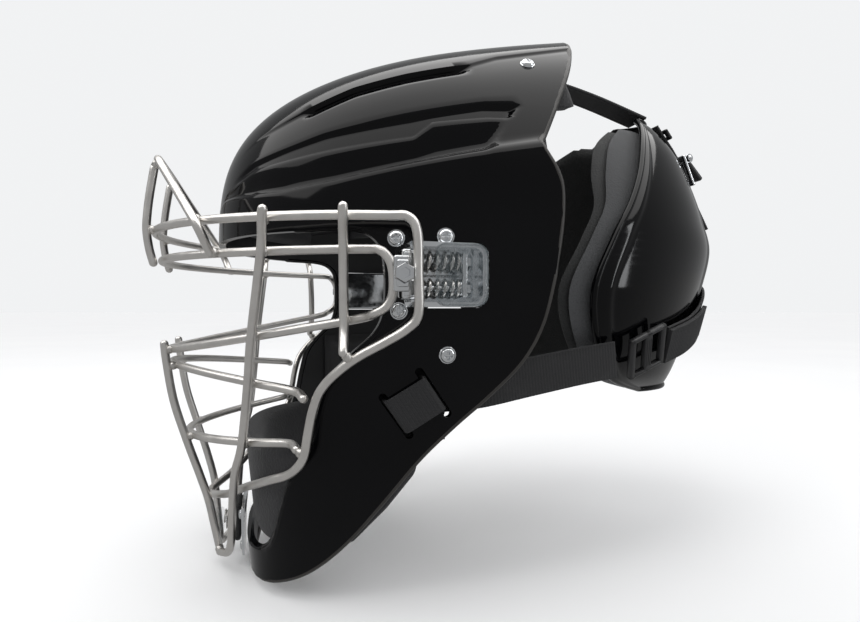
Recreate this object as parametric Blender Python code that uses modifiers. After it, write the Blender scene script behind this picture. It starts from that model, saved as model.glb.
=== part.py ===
"""Hockey-style catcher's mask: gloss shell, spring-hung wire cage, strapped back plate.

The wearer faces -Y, their left side is +X and +Z is up. The origin is the middle of the
head at eye level. Shape numbers are in millimetres; `metres` turns them into scene units.
"""

import math

import bmesh
import bpy
from mathutils import Matrix, Vector

MM = 0.001
GAP = 0.3

# Shell
TEMPLE_Z = 20.0
CHIN_Z = -137.0
SKIRT_Z = -146.0
CROWN_HEIGHT = 146.0
BROW_Y = -97.0
CHIN_Y = -80.0
CROWN_REAR_Y = 110.0
SHELL_REAR_Y = 118.0
HALF_WIDTH = 102.0
CHIN_HALF_WIDTH = 61.0
SHELL_T = 3.5
LINING_GAP = 1.0

# Cage
WIRE_D = 4.0
WELD_STEP = WIRE_D + GAP
SLIDE_TRAVEL = 3.0

# Suspension module, one on each side
MODULE_X = 99.5
MODULE_Z = 15.2
MODULE_FRONT_Y = -18.8
MODULE_REAR_Y = 18.5
MODULE_H = 27.0
POCKET_X = (91.5, 106.0)
ROD_D = 3.2
ROD_PITCH = 11.5
SPRING_D = 9.0
SPRING_WIRE_D = 1.5
SPRING_SPAN_Y = (-11.2, 7.6)

# Straps and back plate
WEB_W = 19.0
WEB_T = 1.8
PLATE_T = 3.0
FOAM_T = 12.0

for old in list(bpy.data.objects):
    bpy.data.objects.remove(old, do_unlink=True)

PARTS = bpy.data.collections.new("catchers_mask")
CUTTERS = bpy.data.collections.new("cutters")
bpy.context.scene.collection.children.link(PARTS)
bpy.context.scene.collection.children.link(CUTTERS)


# ---------------------------------------------------------------- materials


def material(name, colour, roughness, metallic=0.0, alpha=1.0):
    made = bpy.data.materials.new(name)
    made.use_nodes = True
    shader = made.node_tree.nodes["Principled BSDF"]
    shader.inputs["Base Color"].default_value = (*colour, 1.0)
    shader.inputs["Roughness"].default_value = roughness
    shader.inputs["Metallic"].default_value = metallic
    shader.inputs["Alpha"].default_value = alpha
    return made


GLOSS_BLACK = material("gloss_black_shell", (0.004, 0.004, 0.005), 0.12)
SATIN_STEEL = material("satin_titanium_wire", (0.42, 0.40, 0.38), 0.32, 1.0)
CHROME = material("chrome_hardware", (0.75, 0.76, 0.78), 0.1, 1.0)
SPRING_STEEL = material("spring_steel", (0.55, 0.55, 0.56), 0.2, 1.0)
CLEAR = material("clear_cover", (0.85, 0.9, 0.95), 0.05, 0.0, 0.3)
BLACK_PLASTIC = material("black_plastic", (0.012, 0.012, 0.013), 0.4)
RUBBER = material("black_rubber", (0.015, 0.015, 0.016), 0.75)
FOAM = material("black_foam", (0.02, 0.02, 0.022), 0.9)
GREY_FOAM = material("grey_foam", (0.06, 0.063, 0.068), 0.9)
WEBBING = material("black_webbing", (0.012, 0.012, 0.013), 0.8)


# ---------------------------------------------------------------- helpers


def metres(point):
    return Vector(point) * MM


def mix(a, b, share):
    return a + (b - a) * share


def mirrored(point):
    return (-point[0], point[1], point[2])


def smooth_path(points, steps=4, closed=False):
    """Points along a Catmull-Rom curve through the given ones, `steps` to a stretch."""
    count = len(points)
    pts = [Vector(p) for p in points]
    path = []
    for i in range(count if closed else count - 1):
        a = pts[i - 1] if closed or i else pts[0] * 2 - pts[1]
        b = pts[i]
        c = pts[(i + 1) % count]
        d = pts[(i + 2) % count] if closed or i + 2 < count else c * 2 - b
        for k in range(steps):
            t = k / steps
            path.append(
                0.5 * (2 * b + (c - a) * t + (2 * a - 5 * b + 4 * c - d) * t ** 2
                       + (3 * b - a - 3 * c + d) * t ** 3)
            )
    if not closed:
        path.append(pts[-1])
    return path


def link(name, data, look, collection=PARTS):
    made = bpy.data.objects.new(name, data)
    collection.objects.link(made)
    if look:
        data.materials.append(look)
    return made


def mesh_object(name, points, faces, look, collection=PARTS):
    mesh = bpy.data.meshes.new(name)
    mesh.from_pydata([metres(p) for p in points], [], faces)
    shape = bmesh.new()
    shape.from_mesh(mesh)
    bmesh.ops.remove_doubles(shape, verts=shape.verts, dist=1e-6)
    shape.to_mesh(mesh)
    shape.free()
    mesh.shade_smooth()
    return link(name, mesh, look, collection)


def grid_faces(rows, columns):
    """Quads between `rows` rows of `columns` points, numbered row by row."""
    faces = []
    for r in range(rows - 1):
        for c in range(columns - 1):
            first = r * columns + c
            faces.append((first, first + 1, first + columns + 1, first + columns))
    return faces


def thicken(made, thickness, offset=-1.0):
    solid = made.modifiers.new("thickness", "SOLIDIFY")
    solid.thickness = thickness * MM
    solid.offset = offset


def mirror_x(made):
    both = made.modifiers.new("both_sides", "MIRROR")
    both.use_clip = True
    both.merge_threshold = 0.0001


def sink(made, depth):
    """Moves a surface inwards along its own normals."""
    inner = made.modifiers.new("inwards", "DISPLACE")
    inner.mid_level = 0.0
    inner.strength = -depth * MM


def cut(made, cutter, operation="DIFFERENCE"):
    hole = made.modifiers.new(cutter.name, "BOOLEAN")
    hole.operation = operation
    hole.object = cutter


def hide(made):
    made.hide_render = True
    made.display_type = "WIRE"


def sharp_at(made, degrees=35):
    made.data.shade_smooth()
    made.data.set_sharp_from_angle(angle=math.radians(degrees))


def box(name, low, high, look=None, bevel=0.0, collection=PARTS):
    bpy.ops.mesh.primitive_cube_add(size=1)
    made = bpy.context.active_object
    made.name = name
    for owner in list(made.users_collection):
        owner.objects.unlink(made)
    collection.objects.link(made)
    size = Vector(high) - Vector(low)
    for corner in made.data.vertices:
        corner.co = Vector(a * b for a, b in zip(corner.co, size)) * MM
    made.location = metres((Vector(low) + Vector(high)) / 2)
    if look:
        made.data.materials.append(look)
    if bevel:
        edge = made.modifiers.new("edges", "BEVEL")
        edge.width = bevel * MM
        edge.segments = 2
    sharp_at(made)
    return made


AXIS_TURN = {
    "X": (0.0, math.radians(90), 0.0),
    "Y": (math.radians(-90), 0.0, 0.0),
    "Z": (0.0, 0.0, 0.0),
}


def cylinder(name, start, length, diameter, axis, look=None, sides=24, collection=PARTS):
    """A cylinder whose near end is centred on `start`, running along +axis."""
    bpy.ops.mesh.primitive_cylinder_add(
        vertices=sides, radius=diameter * MM / 2, depth=length * MM
    )
    made = bpy.context.active_object
    made.name = name
    for owner in list(made.users_collection):
        owner.objects.unlink(made)
    collection.objects.link(made)
    middle = Vector(start)
    middle["XYZ".index(axis)] += length / 2
    made.location = metres(middle)
    made.rotation_euler = AXIS_TURN[axis]
    if look:
        made.data.materials.append(look)
    sharp_at(made)
    return made


def cutter_box(name, low, high):
    made = box(name, low, high, collection=CUTTERS)
    hide(made)
    return made


def cutter_cylinder(name, start, length, diameter, axis, sides=20):
    made = cylinder(name, start, length, diameter, axis, sides=sides, collection=CUTTERS)
    hide(made)
    return made


def as_mesh(curve, name, look, collection):
    """A curve object made a mesh, its loose caps welded, and the curve removed."""
    bpy.context.view_layer.update()
    graph = bpy.context.evaluated_depsgraph_get()
    mesh = bpy.data.meshes.new_from_object(curve.evaluated_get(graph))
    shape = bmesh.new()
    shape.from_mesh(mesh)
    bmesh.ops.remove_doubles(shape, verts=shape.verts, dist=1e-6)
    bmesh.ops.recalc_face_normals(shape, faces=shape.faces)
    shape.to_mesh(mesh)
    shape.free()
    mesh.materials.clear()
    made = link(name, mesh, look, collection)
    made.matrix_world = curve.matrix_world
    bpy.data.objects.remove(curve, do_unlink=True)
    return made


def side_prism(name, outline, low_x, high_x):
    """A cutter: an outline drawn in the side view (Y, Z), run across from low_x to high_x."""
    curve = bpy.data.curves.new(name, "CURVE")
    curve.dimensions = "2D"
    curve.fill_mode = "BOTH"
    curve.extrude = (high_x - low_x) / 2 * MM
    line = curve.splines.new("POLY")
    line.points.add(len(outline) - 1)
    for point, (y, z) in zip(line.points, outline):
        point.co = (y * MM, z * MM, 0.0, 1.0)
    line.use_cyclic_u = True
    made = bpy.data.objects.new(name + "_outline", curve)
    CUTTERS.objects.link(made)
    made.location = metres(((low_x + high_x) / 2, 0.0, 0.0))
    made.rotation_euler = (math.radians(90), 0.0, math.radians(90))
    prism = as_mesh(made, name, None, CUTTERS)
    hide(prism)
    return prism


def wire(name, path, diameter=WIRE_D, look=SATIN_STEEL, closed=False, roundness=1):
    curve = bpy.data.curves.new(name, "CURVE")
    curve.dimensions = "3D"
    curve.bevel_depth = diameter / 2 * MM
    curve.bevel_resolution = roundness
    curve.use_fill_caps = not closed
    line = curve.splines.new("POLY")
    line.points.add(len(path) - 1)
    for point, place in zip(line.points, path):
        point.co = (*metres(place), 1.0)
    line.use_cyclic_u = closed
    line.use_smooth = True
    return link(name, curve, look)


def ribbon(name, path, across, width, thickness, look=WEBBING):
    """Flat webbing: a strip of the given width along `path`, then given its thickness."""
    points = []
    for place, side in zip(path, across):
        half = Vector(side).normalized() * width / 2
        points += [Vector(place) - half, Vector(place) + half]
    made = mesh_object(name, points, grid_faces(len(path), 2), look)
    thicken(made, thickness, 0.0)
    return made


# ---------------------------------------------------------------- shell form


def crown_z(y):
    """Height of the crown's centre line over station y."""
    run = min(max((CROWN_REAR_Y - y) / (CROWN_REAR_Y - BROW_Y), 0.0), 1.0)
    return TEMPLE_Z + CROWN_HEIGHT * (1.0 - run) ** 0.26


def plan_point(z, turn):
    """A point of the outer skin's plan at height z: turn 0 is the nose line, 1 the widest
    station and 2 the rear end."""
    drop = min(max((TEMPLE_Z - z) / (TEMPLE_Z - CHIN_Z), 0.0), 1.1)
    half = HALF_WIDTH - (HALF_WIDTH - CHIN_HALF_WIDTH) * drop ** 1.9
    front = mix(BROW_Y, CHIN_Y, drop)
    widest = mix(30.0, -10.0, drop)
    power = 2.0 / (2.2 + 0.6 * drop + 0.8 * drop ** 6)
    if turn > 1.0:
        return half, mix(widest, SHELL_REAR_Y, turn - 1.0)
    angle = math.radians(90) * turn
    across = half * math.sin(angle) ** power
    return across, widest - (widest - front) * max(math.cos(angle), 0.0) ** power


def skin(level, turn):
    """The left half of the outer skin: level -1 is the skirt, 0 the temple line, 1 the top."""
    if level < 0.0:
        z = mix(TEMPLE_Z, SKIRT_Z, -level)
        x, y = plan_point(z, turn)
        return (x, y, z)
    x, y = plan_point(TEMPLE_Z, turn)
    angle = math.radians(90) * level
    rise = crown_z(y) - TEMPLE_Z
    return (x * max(math.cos(angle), 0.0) ** 0.8, y, TEMPLE_Z + rise * math.sin(angle))


def level_of(z):
    """The skin level of a height below the temple line."""
    return (z - TEMPLE_Z) / (TEMPLE_Z - SKIRT_Z)


def skin_patch(name, levels, turns, rows, columns, look):
    points = []
    for r in range(rows):
        level = mix(levels[0], levels[1], r / (rows - 1))
        for c in range(columns):
            points.append(skin(level, mix(turns[0], turns[1], c / (columns - 1))))
    return mesh_object(name, points, grid_faces(rows, columns), look)


SHELL_EDGE = [
    (110, 185), (104, 170), (93, 156), (77, 126), (65, 105), (53, 83), (49.5, 76), (57, 62),
    (58.5, 50), (56.5, 34), (52, 12), (47, -7), (38, -23), (23, -38), (8, -51), (-7, -66),
    (-22, -86), (-34, -102), (-45, -114), (-55, -122), (-64, -126.5), (-74, -130), (-95, -135),
]
FACE_EDGE = [
    (-60, 35), (-38, 35), (-28, 31), (-24, 22), (-24, 2), (-28, -9), (-38, -19), (-46, -29),
    (-50, -42), (-53, -56), (-57, -68), (-62, -77), (-66, -92), (-69, -106), (-73, -114),
    (-80, -118),
]


def edge_curve(points, steps):
    flat = [(y, z, 0.0) for y, z in points]
    return [(p.x, p.y) for p in smooth_path(flat, steps)]


def outer_shell():
    shell = skin_patch("outer_shell", (-1.0, 1.0), (0.0, 2.0), 23, 21, GLOSS_BLACK)
    mirror_x(shell)
    thicken(shell, SHELL_T)
    trim = edge_curve(SHELL_EDGE, 2) + [(-160, -140), (-160, 200), (110, 200)]
    cut(shell, side_prism("shell_outline", trim, -140, 140), "INTERSECT")
    face = [(-160, 35)] + edge_curve(FACE_EDGE, 2) + [(-160, -118)]
    cut(shell, side_prism("face_opening", face, -140, 140))
    for side, sign in (("left", 1), ("right", -1)):
        xs = sorted((sign * 80, sign * 125))
        low = (xs[0], MODULE_FRONT_Y - 0.5, MODULE_Z - MODULE_H / 2 - 0.5)
        high = (xs[1], MODULE_REAR_Y + 0.5, MODULE_Z + MODULE_H / 2 + 0.5)
        cut(shell, cutter_box(side + "_module_window", low, high))
        for slot, start, end in STRAP_SLOTS:
            cut(shell, slot_cutter(side + slot, start, end, sign))
    sharp_at(shell, 40)
    return shell


STRAP_SLOTS = (
    ("_front_slot", (-24.0, -37.0), (-12.0, -54.0)),
    ("_rear_slot", (-9.0, -26.0), (4.5, -45.0)),
)
SLOT_W = 3.6
SLOT_CENTRES = ((-18.0, -45.5), (-2.3, -35.5))


def slot_cutter(name, start, end, sign):
    """A slanted slot through one side wall, between two points of the side view."""
    along = Vector((end[0] - start[0], end[1] - start[1], 0.0)).normalized() * SLOT_W / 2
    side = Vector((-along.y, along.x, 0.0))
    a = Vector((*start, 0.0)) - along
    b = Vector((*end, 0.0)) + along
    corners = [a - side, b - side, b + side, a + side]
    xs = sorted((sign * 70, sign * 115))
    return side_prism(name, [(p.x, p.y) for p in corners], *xs)


def lining(name, levels, turns, rows, columns, depth, outline=None, both=False, sign=1):
    """A foam pad that follows the inside of the shell, trimmed to a side-view outline."""
    pad = skin_patch(name, levels, turns, rows, columns, FOAM)
    if both:
        mirror_x(pad)
    sink(pad, SHELL_T + LINING_GAP)
    thicken(pad, depth)
    if outline:
        cut(pad, side_prism(name + "_trim", outline, -130, 130), "INTERSECT")
    if sign < 0:
        flip_to_right(pad)
    return pad


def flip_to_right(made):
    for vertex in made.data.vertices:
        vertex.co.x = -vertex.co.x
    made.data.flip_normals()


BROW_PAD_EDGE = [(-110, 44), (-50, 50), (-42, 56), (-42, 84), (-50, 90), (-110, 84)]
CHIN_PAD_EDGE = [(-90, -64), (-43, -62), (-43, -98), (-56, -107), (-90, -107)]


JAW_PAD_EDGE = [
    (-38, -60), (-20, -60), (-5, -64), (-7, -76), (-19, -93), (-34, -110), (-41, -112),
    (-41, -66),
]


def pads():
    lining("brow_pad", (0.0, 1.0), (0.0, 0.66), 9, 10, 11.0, BROW_PAD_EDGE, both=True)
    lining("crown_pad", (0.66, 1.0), (0.62, 1.5), 6, 7, 12.0, both=True)
    lining("chin_pad", (level_of(-122), level_of(-58)), (0.0, 0.8), 6, 9, 11.0,
           CHIN_PAD_EDGE, both=True)
    for side, sign in (("left", 1), ("right", -1)):
        lining(side + "_temple_pad", (0.2, 0.5), (0.8, 1.3), 4, 5, 10.0, sign=sign)
        lining(side + "_jaw_pad", (level_of(-124), level_of(-54)), (0.6, 1.0), 7, 7, 9.0,
               JAW_PAD_EDGE, sign=sign)
        lining(side + "_rear_pad", (0.42, 0.62), (1.3, 1.52), 4, 4, 9.0, sign=sign)


# ---------------------------------------------------------------- cage wires

# Each bar bows round the face: half width and station at its back, station of its front,
# the bow's power, and its heights at the back and the front.
TOP_BAR = (108.0, -15.0, -128.0, 1.38, 38.3, 40.5)
EYE_TOP = (98.0, -20.0, -125.0, 1.2, 26.0, 26.0)
EYE_BOTTOM = (98.0, -20.0, -121.5, 1.0, -0.5, -20.0)
CHEEK_BAR = (100.0, -30.0, -120.0, 0.68, -40.0, -26.5)
JAW_BAR = (92.0, -35.0, -112.0, 0.78, -57.5, -63.5)


def bar_point(bar, y):
    half, back, front, power, back_z, front_z = bar
    run = min(max((back - y) / (back - front), 0.0), 1.0)
    return Vector((half * math.sqrt(1.0 - run ** power), y, mix(back_z, front_z, run)))


def over_bar(bar, y, step=WELD_STEP):
    """Where a crossing wire lies on the outside of a bar at station y."""
    run = bar_point(bar, y + 0.5) - bar_point(bar, y - 0.5)
    out = Vector((run.y, -run.x, 0.0)).normalized()
    return bar_point(bar, y) + out * step


def bar_side(bar, last_y, count):
    """Points of a bar's left side, from the front centre to station last_y."""
    back, front = bar[1], bar[2]
    points = []
    for k in range(count):
        share = (k / (count - 1)) ** 2
        points.append(bar_point(bar, mix(front, last_y, share)))
    return points


def both_sides(left):
    """A whole path from its left half: right end, front centre, left end."""
    return [Vector(mirrored(p)) for p in reversed(left[1:])] + [Vector(p) for p in left]


FRAME_CORNER = [(108.5, -17, 38), (110, -13.5, 32)]
FRAME_SIDE = [
    (110, -13, 15), (110, -13, -1), (108, -17, -7), (104, -26, -13), (99, -35, -18.5),
    (94, -43, -25), (88.5, -49.5, -33), (85.5, -52.7, -42), (84, -54.6, -52), (82.5, -56.2, -62),
    (79.2, -59.2, -68), (73.3, -63.4, -72.5),
]
FRAME_FRONT = [(66, -70, -76), (52, -76, -81.5), (40, -81, -86), (32, -84.5, -89.5),
               (20, -92, -95), (0, -102, -99)]


def outer_frame():
    top = bar_side(TOP_BAR, -24.0, 9)
    left = top + [Vector(p) for p in FRAME_CORNER + FRAME_SIDE + FRAME_FRONT]
    loop = left + [Vector(mirrored(p)) for p in reversed(left[1:-1])]
    wire("cage_outer_frame", smooth_path(loop, 2, closed=True), closed=True)


def eye_loop():
    top = bar_side(EYE_TOP, -32.0, 8)
    bottom = bar_side(EYE_BOTTOM, -34.0, 8)
    corner = [(99, -26, 25), (101, -22, 19), (101, -21.4, 8), (100, -24, 2), (98, -28.5, -1)]
    left = top + [Vector(p) for p in corner] + list(reversed(bottom))
    loop = left + [Vector(mirrored(p)) for p in reversed(left[1:-1])]
    wire("cage_eye_loop", smooth_path(loop, 2, closed=True), closed=True)


def cross_bar(name, bar, last_y, end):
    left = bar_side(bar, last_y, 8) + [Vector(end)]
    wire(name, smooth_path(both_sides(left), 2))


def cage():
    outer_frame()
    eye_loop()
    cross_bar("cage_cheek_bar", CHEEK_BAR, -60.0, (82.6, -56.5, -37.5))
    cross_bar("cage_jaw_bar", JAW_BAR, -62.0, (78.6, -59.2, -60.0))
    long_upright = [
        (94, -73.1, 40.6), (91.6, -73.4, 38.4),
        over_bar(EYE_TOP, -71.5, 4.6), over_bar(EYE_BOTTOM, -75.5, 4.6),
        over_bar(CHEEK_BAR, -77, 4.6), over_bar(JAW_BAR, -79.5, 4.6), (47, -86, -76),
        (39.6, -87.4, -88), (33, -88.2, -99), (28, -88.8, -110), (23.5, -89.6, -120),
        (16, -91.6, -127), (8, -96, -129.5),
    ]
    short_upright = [
        (107, -42.8, 41), (106, -42.8, 38.6),
        over_bar(EYE_TOP, -39.5), over_bar(EYE_BOTTOM, -38.5), (98.2, -41.5, -17),
    ]
    chin_upright = [
        (22, -121, -16.5), (22, -120.2, -24), (22, -116.8, -44.5), (21.5, -110.8, -65),
        (19.5, -104.8, -84), (16.5, -101, -98), (10.5, -98.8, -113), (4.6, -96.8, -127.5),
    ]
    nose_upright = [
        (22, -125.6, 71), (22, -127.6, 58), (22, -128.7, 48), (22, -129, 40),
        (22, -127.8, 31), (22, -126, 24),
    ]
    for side, sign in (("left", 1), ("right", -1)):
        for name, route, steps in (
            ("cage_long_upright", long_upright, 2),
            ("cage_short_upright", short_upright, 3),
            ("cage_chin_upright", chin_upright, 2),
            ("cage_nose_upright", nose_upright, 2),
        ):
            path = [(sign * p.x, p.y, p.z) for p in smooth_path(route, steps)]
            wire(f"{side}_{name}", path)
    peak = [(0, -124.5, 77), (16, -124.5, 77), (24.5, -123, 74.5), (33, -118.5, 67),
            over_bar(TOP_BAR, -99), over_bar(EYE_TOP, -93)]
    wire("cage_peak_loop", smooth_path(both_sides(peak), 3))


# ---------------------------------------------------------------- suspension


def spring(name, start, end, outer_d, wire_d, turns, points_a_turn=9):
    """A coil along Y between two (x, y, z) ends on one axis."""
    radius = (outer_d - wire_d) / 2
    low, high = Vector(start), Vector(end)
    total = int(turns * points_a_turn)
    path = []
    for k in range(total + 1):
        angle = 2 * math.pi * k / points_a_turn
        centre = low.lerp(high, k / total)
        path.append(centre + Vector((math.cos(angle), 0.0, math.sin(angle))) * radius)
    wire(name, path, wire_d, SPRING_STEEL, roundness=0)


def housing(side, sign):
    """The tray that fills the shell's side window, open outwards and at its front."""
    low_z, high_z = MODULE_Z - MODULE_H / 2, MODULE_Z + MODULE_H / 2
    front = MODULE_FRONT_Y + 4.3
    tray = box(side + "_spring_housing", (POCKET_X[0], front, low_z),
               (POCKET_X[1], MODULE_REAR_Y, high_z), CHROME, 1.2)
    pocket = cutter_box(side + "_pocket", (POCKET_X[0] + 2, front - 5, low_z + 2),
                        (POCKET_X[1] + 5, MODULE_REAR_Y - 3, high_z - 2))
    cut(tray, pocket)
    if sign < 0:
        to_right(tray)
        to_right(pocket)


def to_right(made):
    """Moves a symmetric shape to the mirrored place on the right side."""
    made.location.x = -made.location.x


def guide(side, sign):
    """Two rods on one rear plate; the carriage runs on the rods."""
    plate = box(side + "_spring_guide", (MODULE_X - 4.5, 8.0, MODULE_Z - 9.5),
                (MODULE_X + 4.5, 10.6, MODULE_Z + 9.5), CHROME)
    for level, up in (("upper", 1), ("lower", -1)):
        centre = (MODULE_X, MODULE_FRONT_Y + 4.3, MODULE_Z + up * ROD_PITCH / 2)
        rod = cutter_cylinder(f"{side}_{level}_rod", centre, 27.5, ROD_D, "Y", 16)
        cut(plate, rod, "UNION")
        if sign < 0:
            to_right(rod)
    if sign < 0:
        to_right(plate)


def carriage(side, sign):
    """The block that carries the cage, with a boss for the cage clamp."""
    block = box(side + "_carriage", (MODULE_X - 5.2, MODULE_FRONT_Y + 0.3, MODULE_Z - 10.6),
                (MODULE_X + 5.6, -11.9, MODULE_Z + 10.6), CHROME)
    for level, up in (("upper", 1), ("lower", -1)):
        centre = (MODULE_X, -30.0, MODULE_Z + up * ROD_PITCH / 2)
        bore = cutter_cylinder(f"{side}_{level}_bore", centre, 25.0, ROD_D + 0.8, "Y", 16)
        cut(block, bore)
        if sign < 0:
            to_right(bore)
    if sign < 0:
        to_right(block)


def clamp(side, sign):
    """The saddle between carriage and cage frame, and the nut that holds it."""
    face = MODULE_X + 5.6 + GAP
    saddle = box(side + "_cage_clamp", (face, -22.6, MODULE_Z - 7.5),
                 (face + 4.0, -15.5, MODULE_Z + 7.5), CHROME, 0.8)
    nut = cylinder(side + "_clamp_nut", (face + 4.0 + GAP, -19.0, MODULE_Z), 3.2, 7.6, "X",
                   CHROME, 6)
    if sign < 0:
        to_right(saddle)
        to_right(nut)


def module(side, sign):
    housing(side, sign)
    guide(side, sign)
    carriage(side, sign)
    clamp(side, sign)
    for level, up in (("upper", 1), ("lower", -1)):
        x, z = sign * MODULE_X, MODULE_Z + up * ROD_PITCH / 2
        start = (x, SPRING_SPAN_Y[0] + 0.9, z)
        end = (x, SPRING_SPAN_Y[1] - 0.9, z)
        spring(f"{side}_{level}_spring", start, end, SPRING_D, SPRING_WIRE_D, 5)
    cover = box(side + "_spring_cover", (POCKET_X[1] + GAP, -4.8, MODULE_Z - 13.2),
                (POCKET_X[1] + GAP + 1.2, MODULE_REAR_Y, MODULE_Z + 13.2), CLEAR, 0.4)
    if sign < 0:
        to_right(cover)


CHIN_AXIS_Z = -115.0


def chin_unit():
    """The chin's own shock unit: bracket on the shell, bumper, spring and plunger."""
    bracket = box("chin_bracket", (-19, -84.9, -134), (19, -82.4, -104), CHROME, 0.8)
    bore = cutter_cylinder("chin_bore", (0, -95, CHIN_AXIS_Z), 25, 6.4, "Y")
    cut(bracket, bore)
    bumper = box("chin_bumper", (-11, -88.7, -131), (11, -85.2, -104), RUBBER, 1.2)
    cut(bumper, bore)
    plunger = cylinder("chin_plunger", (0, -99.2, CHIN_AXIS_Z), 4.6, 13.0, "Y", CLEAR)
    rod = cutter_cylinder("chin_rod", (0, -95, CHIN_AXIS_Z), 12.6, 5.0, "Y", 16)
    cut(plunger, rod, "UNION")
    spring("chin_spring", (0, -93.5, CHIN_AXIS_Z), (0, -89.7, CHIN_AXIS_Z), 10.6, 0.8, 2.5)


# ---------------------------------------------------------------- back plate

# Rows of the back plate's outer face: height, half width, station of the centre and of the
# side edge. The foam liner's side edge stands further forward.
PLATE_ROWS = (
    (-50, 30, 191, 152), (-38, 58, 195, 113), (-18, 76, 202, 93), (10, 85, 212, 85),
    (38, 80, 221, 100), (58, 72, 216, 116), (79, 60, 209, 131), (101, 44, 200, 145),
    (118, 27, 187, 157), (128, 12, 179, 164),
)
PLATE_RIDGE = 1.2
FOAM_RIDGE = 1.15
FOAM_INSET = 8.0
FOAM_EDGE = (145, 104, 80, 70, 86, 99, 105, 118, 140, 154)


def plate_row(share, foam=False):
    """Height, half width, centre and edge stations at a share of the way up the rows."""
    rows = []
    for row, foam_edge in zip(PLATE_ROWS, FOAM_EDGE):
        z, half, centre, edge = row
        if foam:
            rows.append((z, half - FOAM_INSET, centre - FOAM_INSET * 1.6, foam_edge))
        else:
            rows.append((z, half, centre, edge))
    place = share * (len(rows) - 1)
    first = min(max(int(place), 0), len(rows) - 2)
    ring = [rows[min(max(first + k, 0), len(rows) - 1)] for k in (-1, 0, 1, 2)]
    t = place - first
    values = []
    for a, b, c, d in zip(*ring):
        values.append(0.5 * (2 * b + (c - a) * t + (2 * a - 5 * b + 4 * c - d) * t ** 2
                             + (3 * b - a - 3 * c + d) * t ** 3))
    return values


def plate_point(share, turn, foam=False):
    """Outer face of the back plate: turn 0 is its centre line and 1 its side edge."""
    z, half, centre, edge = plate_row(share, foam)
    angle = math.radians(90) * turn
    ridge = FOAM_RIDGE if foam else PLATE_RIDGE
    return (half * math.sin(angle) ** ridge,
            edge + (centre - edge) * max(math.cos(angle), 0.0) ** ridge, z)


def plate_share(z):
    """Share of the way up the plate's rows at a height."""
    for k in range(len(PLATE_ROWS) - 1):
        low, high = PLATE_ROWS[k][0], PLATE_ROWS[k + 1][0]
        if z <= high:
            return (k + (z - low) / (high - low)) / (len(PLATE_ROWS) - 1)
    return 1.0


def bowl(name, rows, columns, depth, look, foam=False):
    """The plate's outer face, or its foam's, as a skin thickened inwards."""
    points = []
    for r in range(rows):
        for c in range(columns):
            share = r / (rows - 1) * (0.87 if foam else 1.0)
            points.append(plate_point(share, c / (columns - 1), foam))
    faces = [tuple(reversed(face)) for face in grid_faces(rows, columns)]
    made = mesh_object(name, points, faces, look)
    mirror_x(made)
    thicken(made, depth)


def back_plate():
    bowl("back_plate", 19, 13, PLATE_T, GLOSS_BLACK)
    bowl("back_pad", 12, 8, FOAM_T, GREY_FOAM, True)


# ---------------------------------------------------------------- straps


def top_strap():
    """Webbing from the inside of the crown to the top of the back plate."""
    route = smooth_path([(0, 84, 143), (0, 100, 147), (0, 112, 146), (0, 140, 140), (0, 174, 130.6)], 4)
    ribbon("top_strap", route, [(1, 0, 0)] * len(route), WEB_W, WEB_T)


PLATE_STEP = 1.6


def on_plate(z, step):
    """A place on the back plate's centre line, `step` outside it, with its outward normal."""
    share = plate_share(z)
    here = Vector(plate_point(share, 0.0))
    run = Vector(plate_point(share + 0.01, 0.0)) - Vector(plate_point(share - 0.01, 0.0))
    out = Vector((0.0, run.z, -run.y)).normalized()
    return here + out * step, out


def strap_tail():
    """The top strap's run down the plate, through the buckle, to its loose end."""
    route = [on_plate(z, PLATE_STEP)[0] for z in (124, 116, 108, 99, 91, 84)]
    for z, lift in ((75, 2.0), (65, 4.2), (54.5, 6.5)):
        route.append(on_plate(z, PLATE_STEP + lift)[0])
    route = smooth_path(route, 3)
    ribbon("top_strap_tail", route, [(1, 0, 0)] * len(route), WEB_W, WEB_T)


BUCKLE_Z = 95.0
LEVER_REST = math.radians(20)
PIN_LIFT = 5.4


def buckle():
    """A cam buckle over the tail: frame on the plate, lever on a cross pin."""
    place, out = on_plate(BUCKLE_Z, PLATE_STEP + WEB_T / 2 + GAP)
    seat = bpy.data.objects.new("buckle_seat", None)
    PARTS.objects.link(seat)
    seat.location = metres(place)
    seat.rotation_euler = (math.atan2(-out.y, out.z), 0.0, 0.0)
    frame = box("buckle_frame", (-13, -11, 0), (13, 11, 2.2), CHROME, 0.6)
    window = cutter_box("buckle_window", (-9.5, -6, -2), (9.5, 6, 5))
    cut(frame, window)
    pin = cylinder("buckle_pin", (-12.5, -7.5, PIN_LIFT), 25.0, 2.6, "X", CHROME, 16)
    for made in (frame, window, pin):
        made.parent = seat
    hinge = bpy.data.objects.new("buckle_hinge", None)
    PARTS.objects.link(hinge)
    hinge.parent = seat
    hinge.location = metres((0, -7.5, PIN_LIFT))
    hinge.rotation_euler = (LEVER_REST, 0.0, 0.0)
    lever = box("buckle_lever", (-10.5, -2.4, -1.8), (10.5, 19.0, 2.4), BLACK_PLASTIC, 1.2)
    eye = cutter_cylinder("lever_eye", (-15, 0, 0), 30.0, 3.3, "X", 16)
    cut(lever, eye)
    for made in (lever, eye):
        made.parent = hinge


def keeper():
    """The strap keeper high on the plate."""
    place, out = on_plate(118, PLATE_STEP + WEB_T / 2 + GAP)
    seat = bpy.data.objects.new("keeper_seat", None)
    PARTS.objects.link(seat)
    seat.location = metres(place)
    seat.rotation_euler = (math.atan2(-out.y, out.z), 0.0, 0.0)
    loop = box("strap_keeper", (-12.5, -4, 0), (12.5, 4, 2.4), BLACK_PLASTIC, 0.8)
    loop.parent = seat


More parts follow.
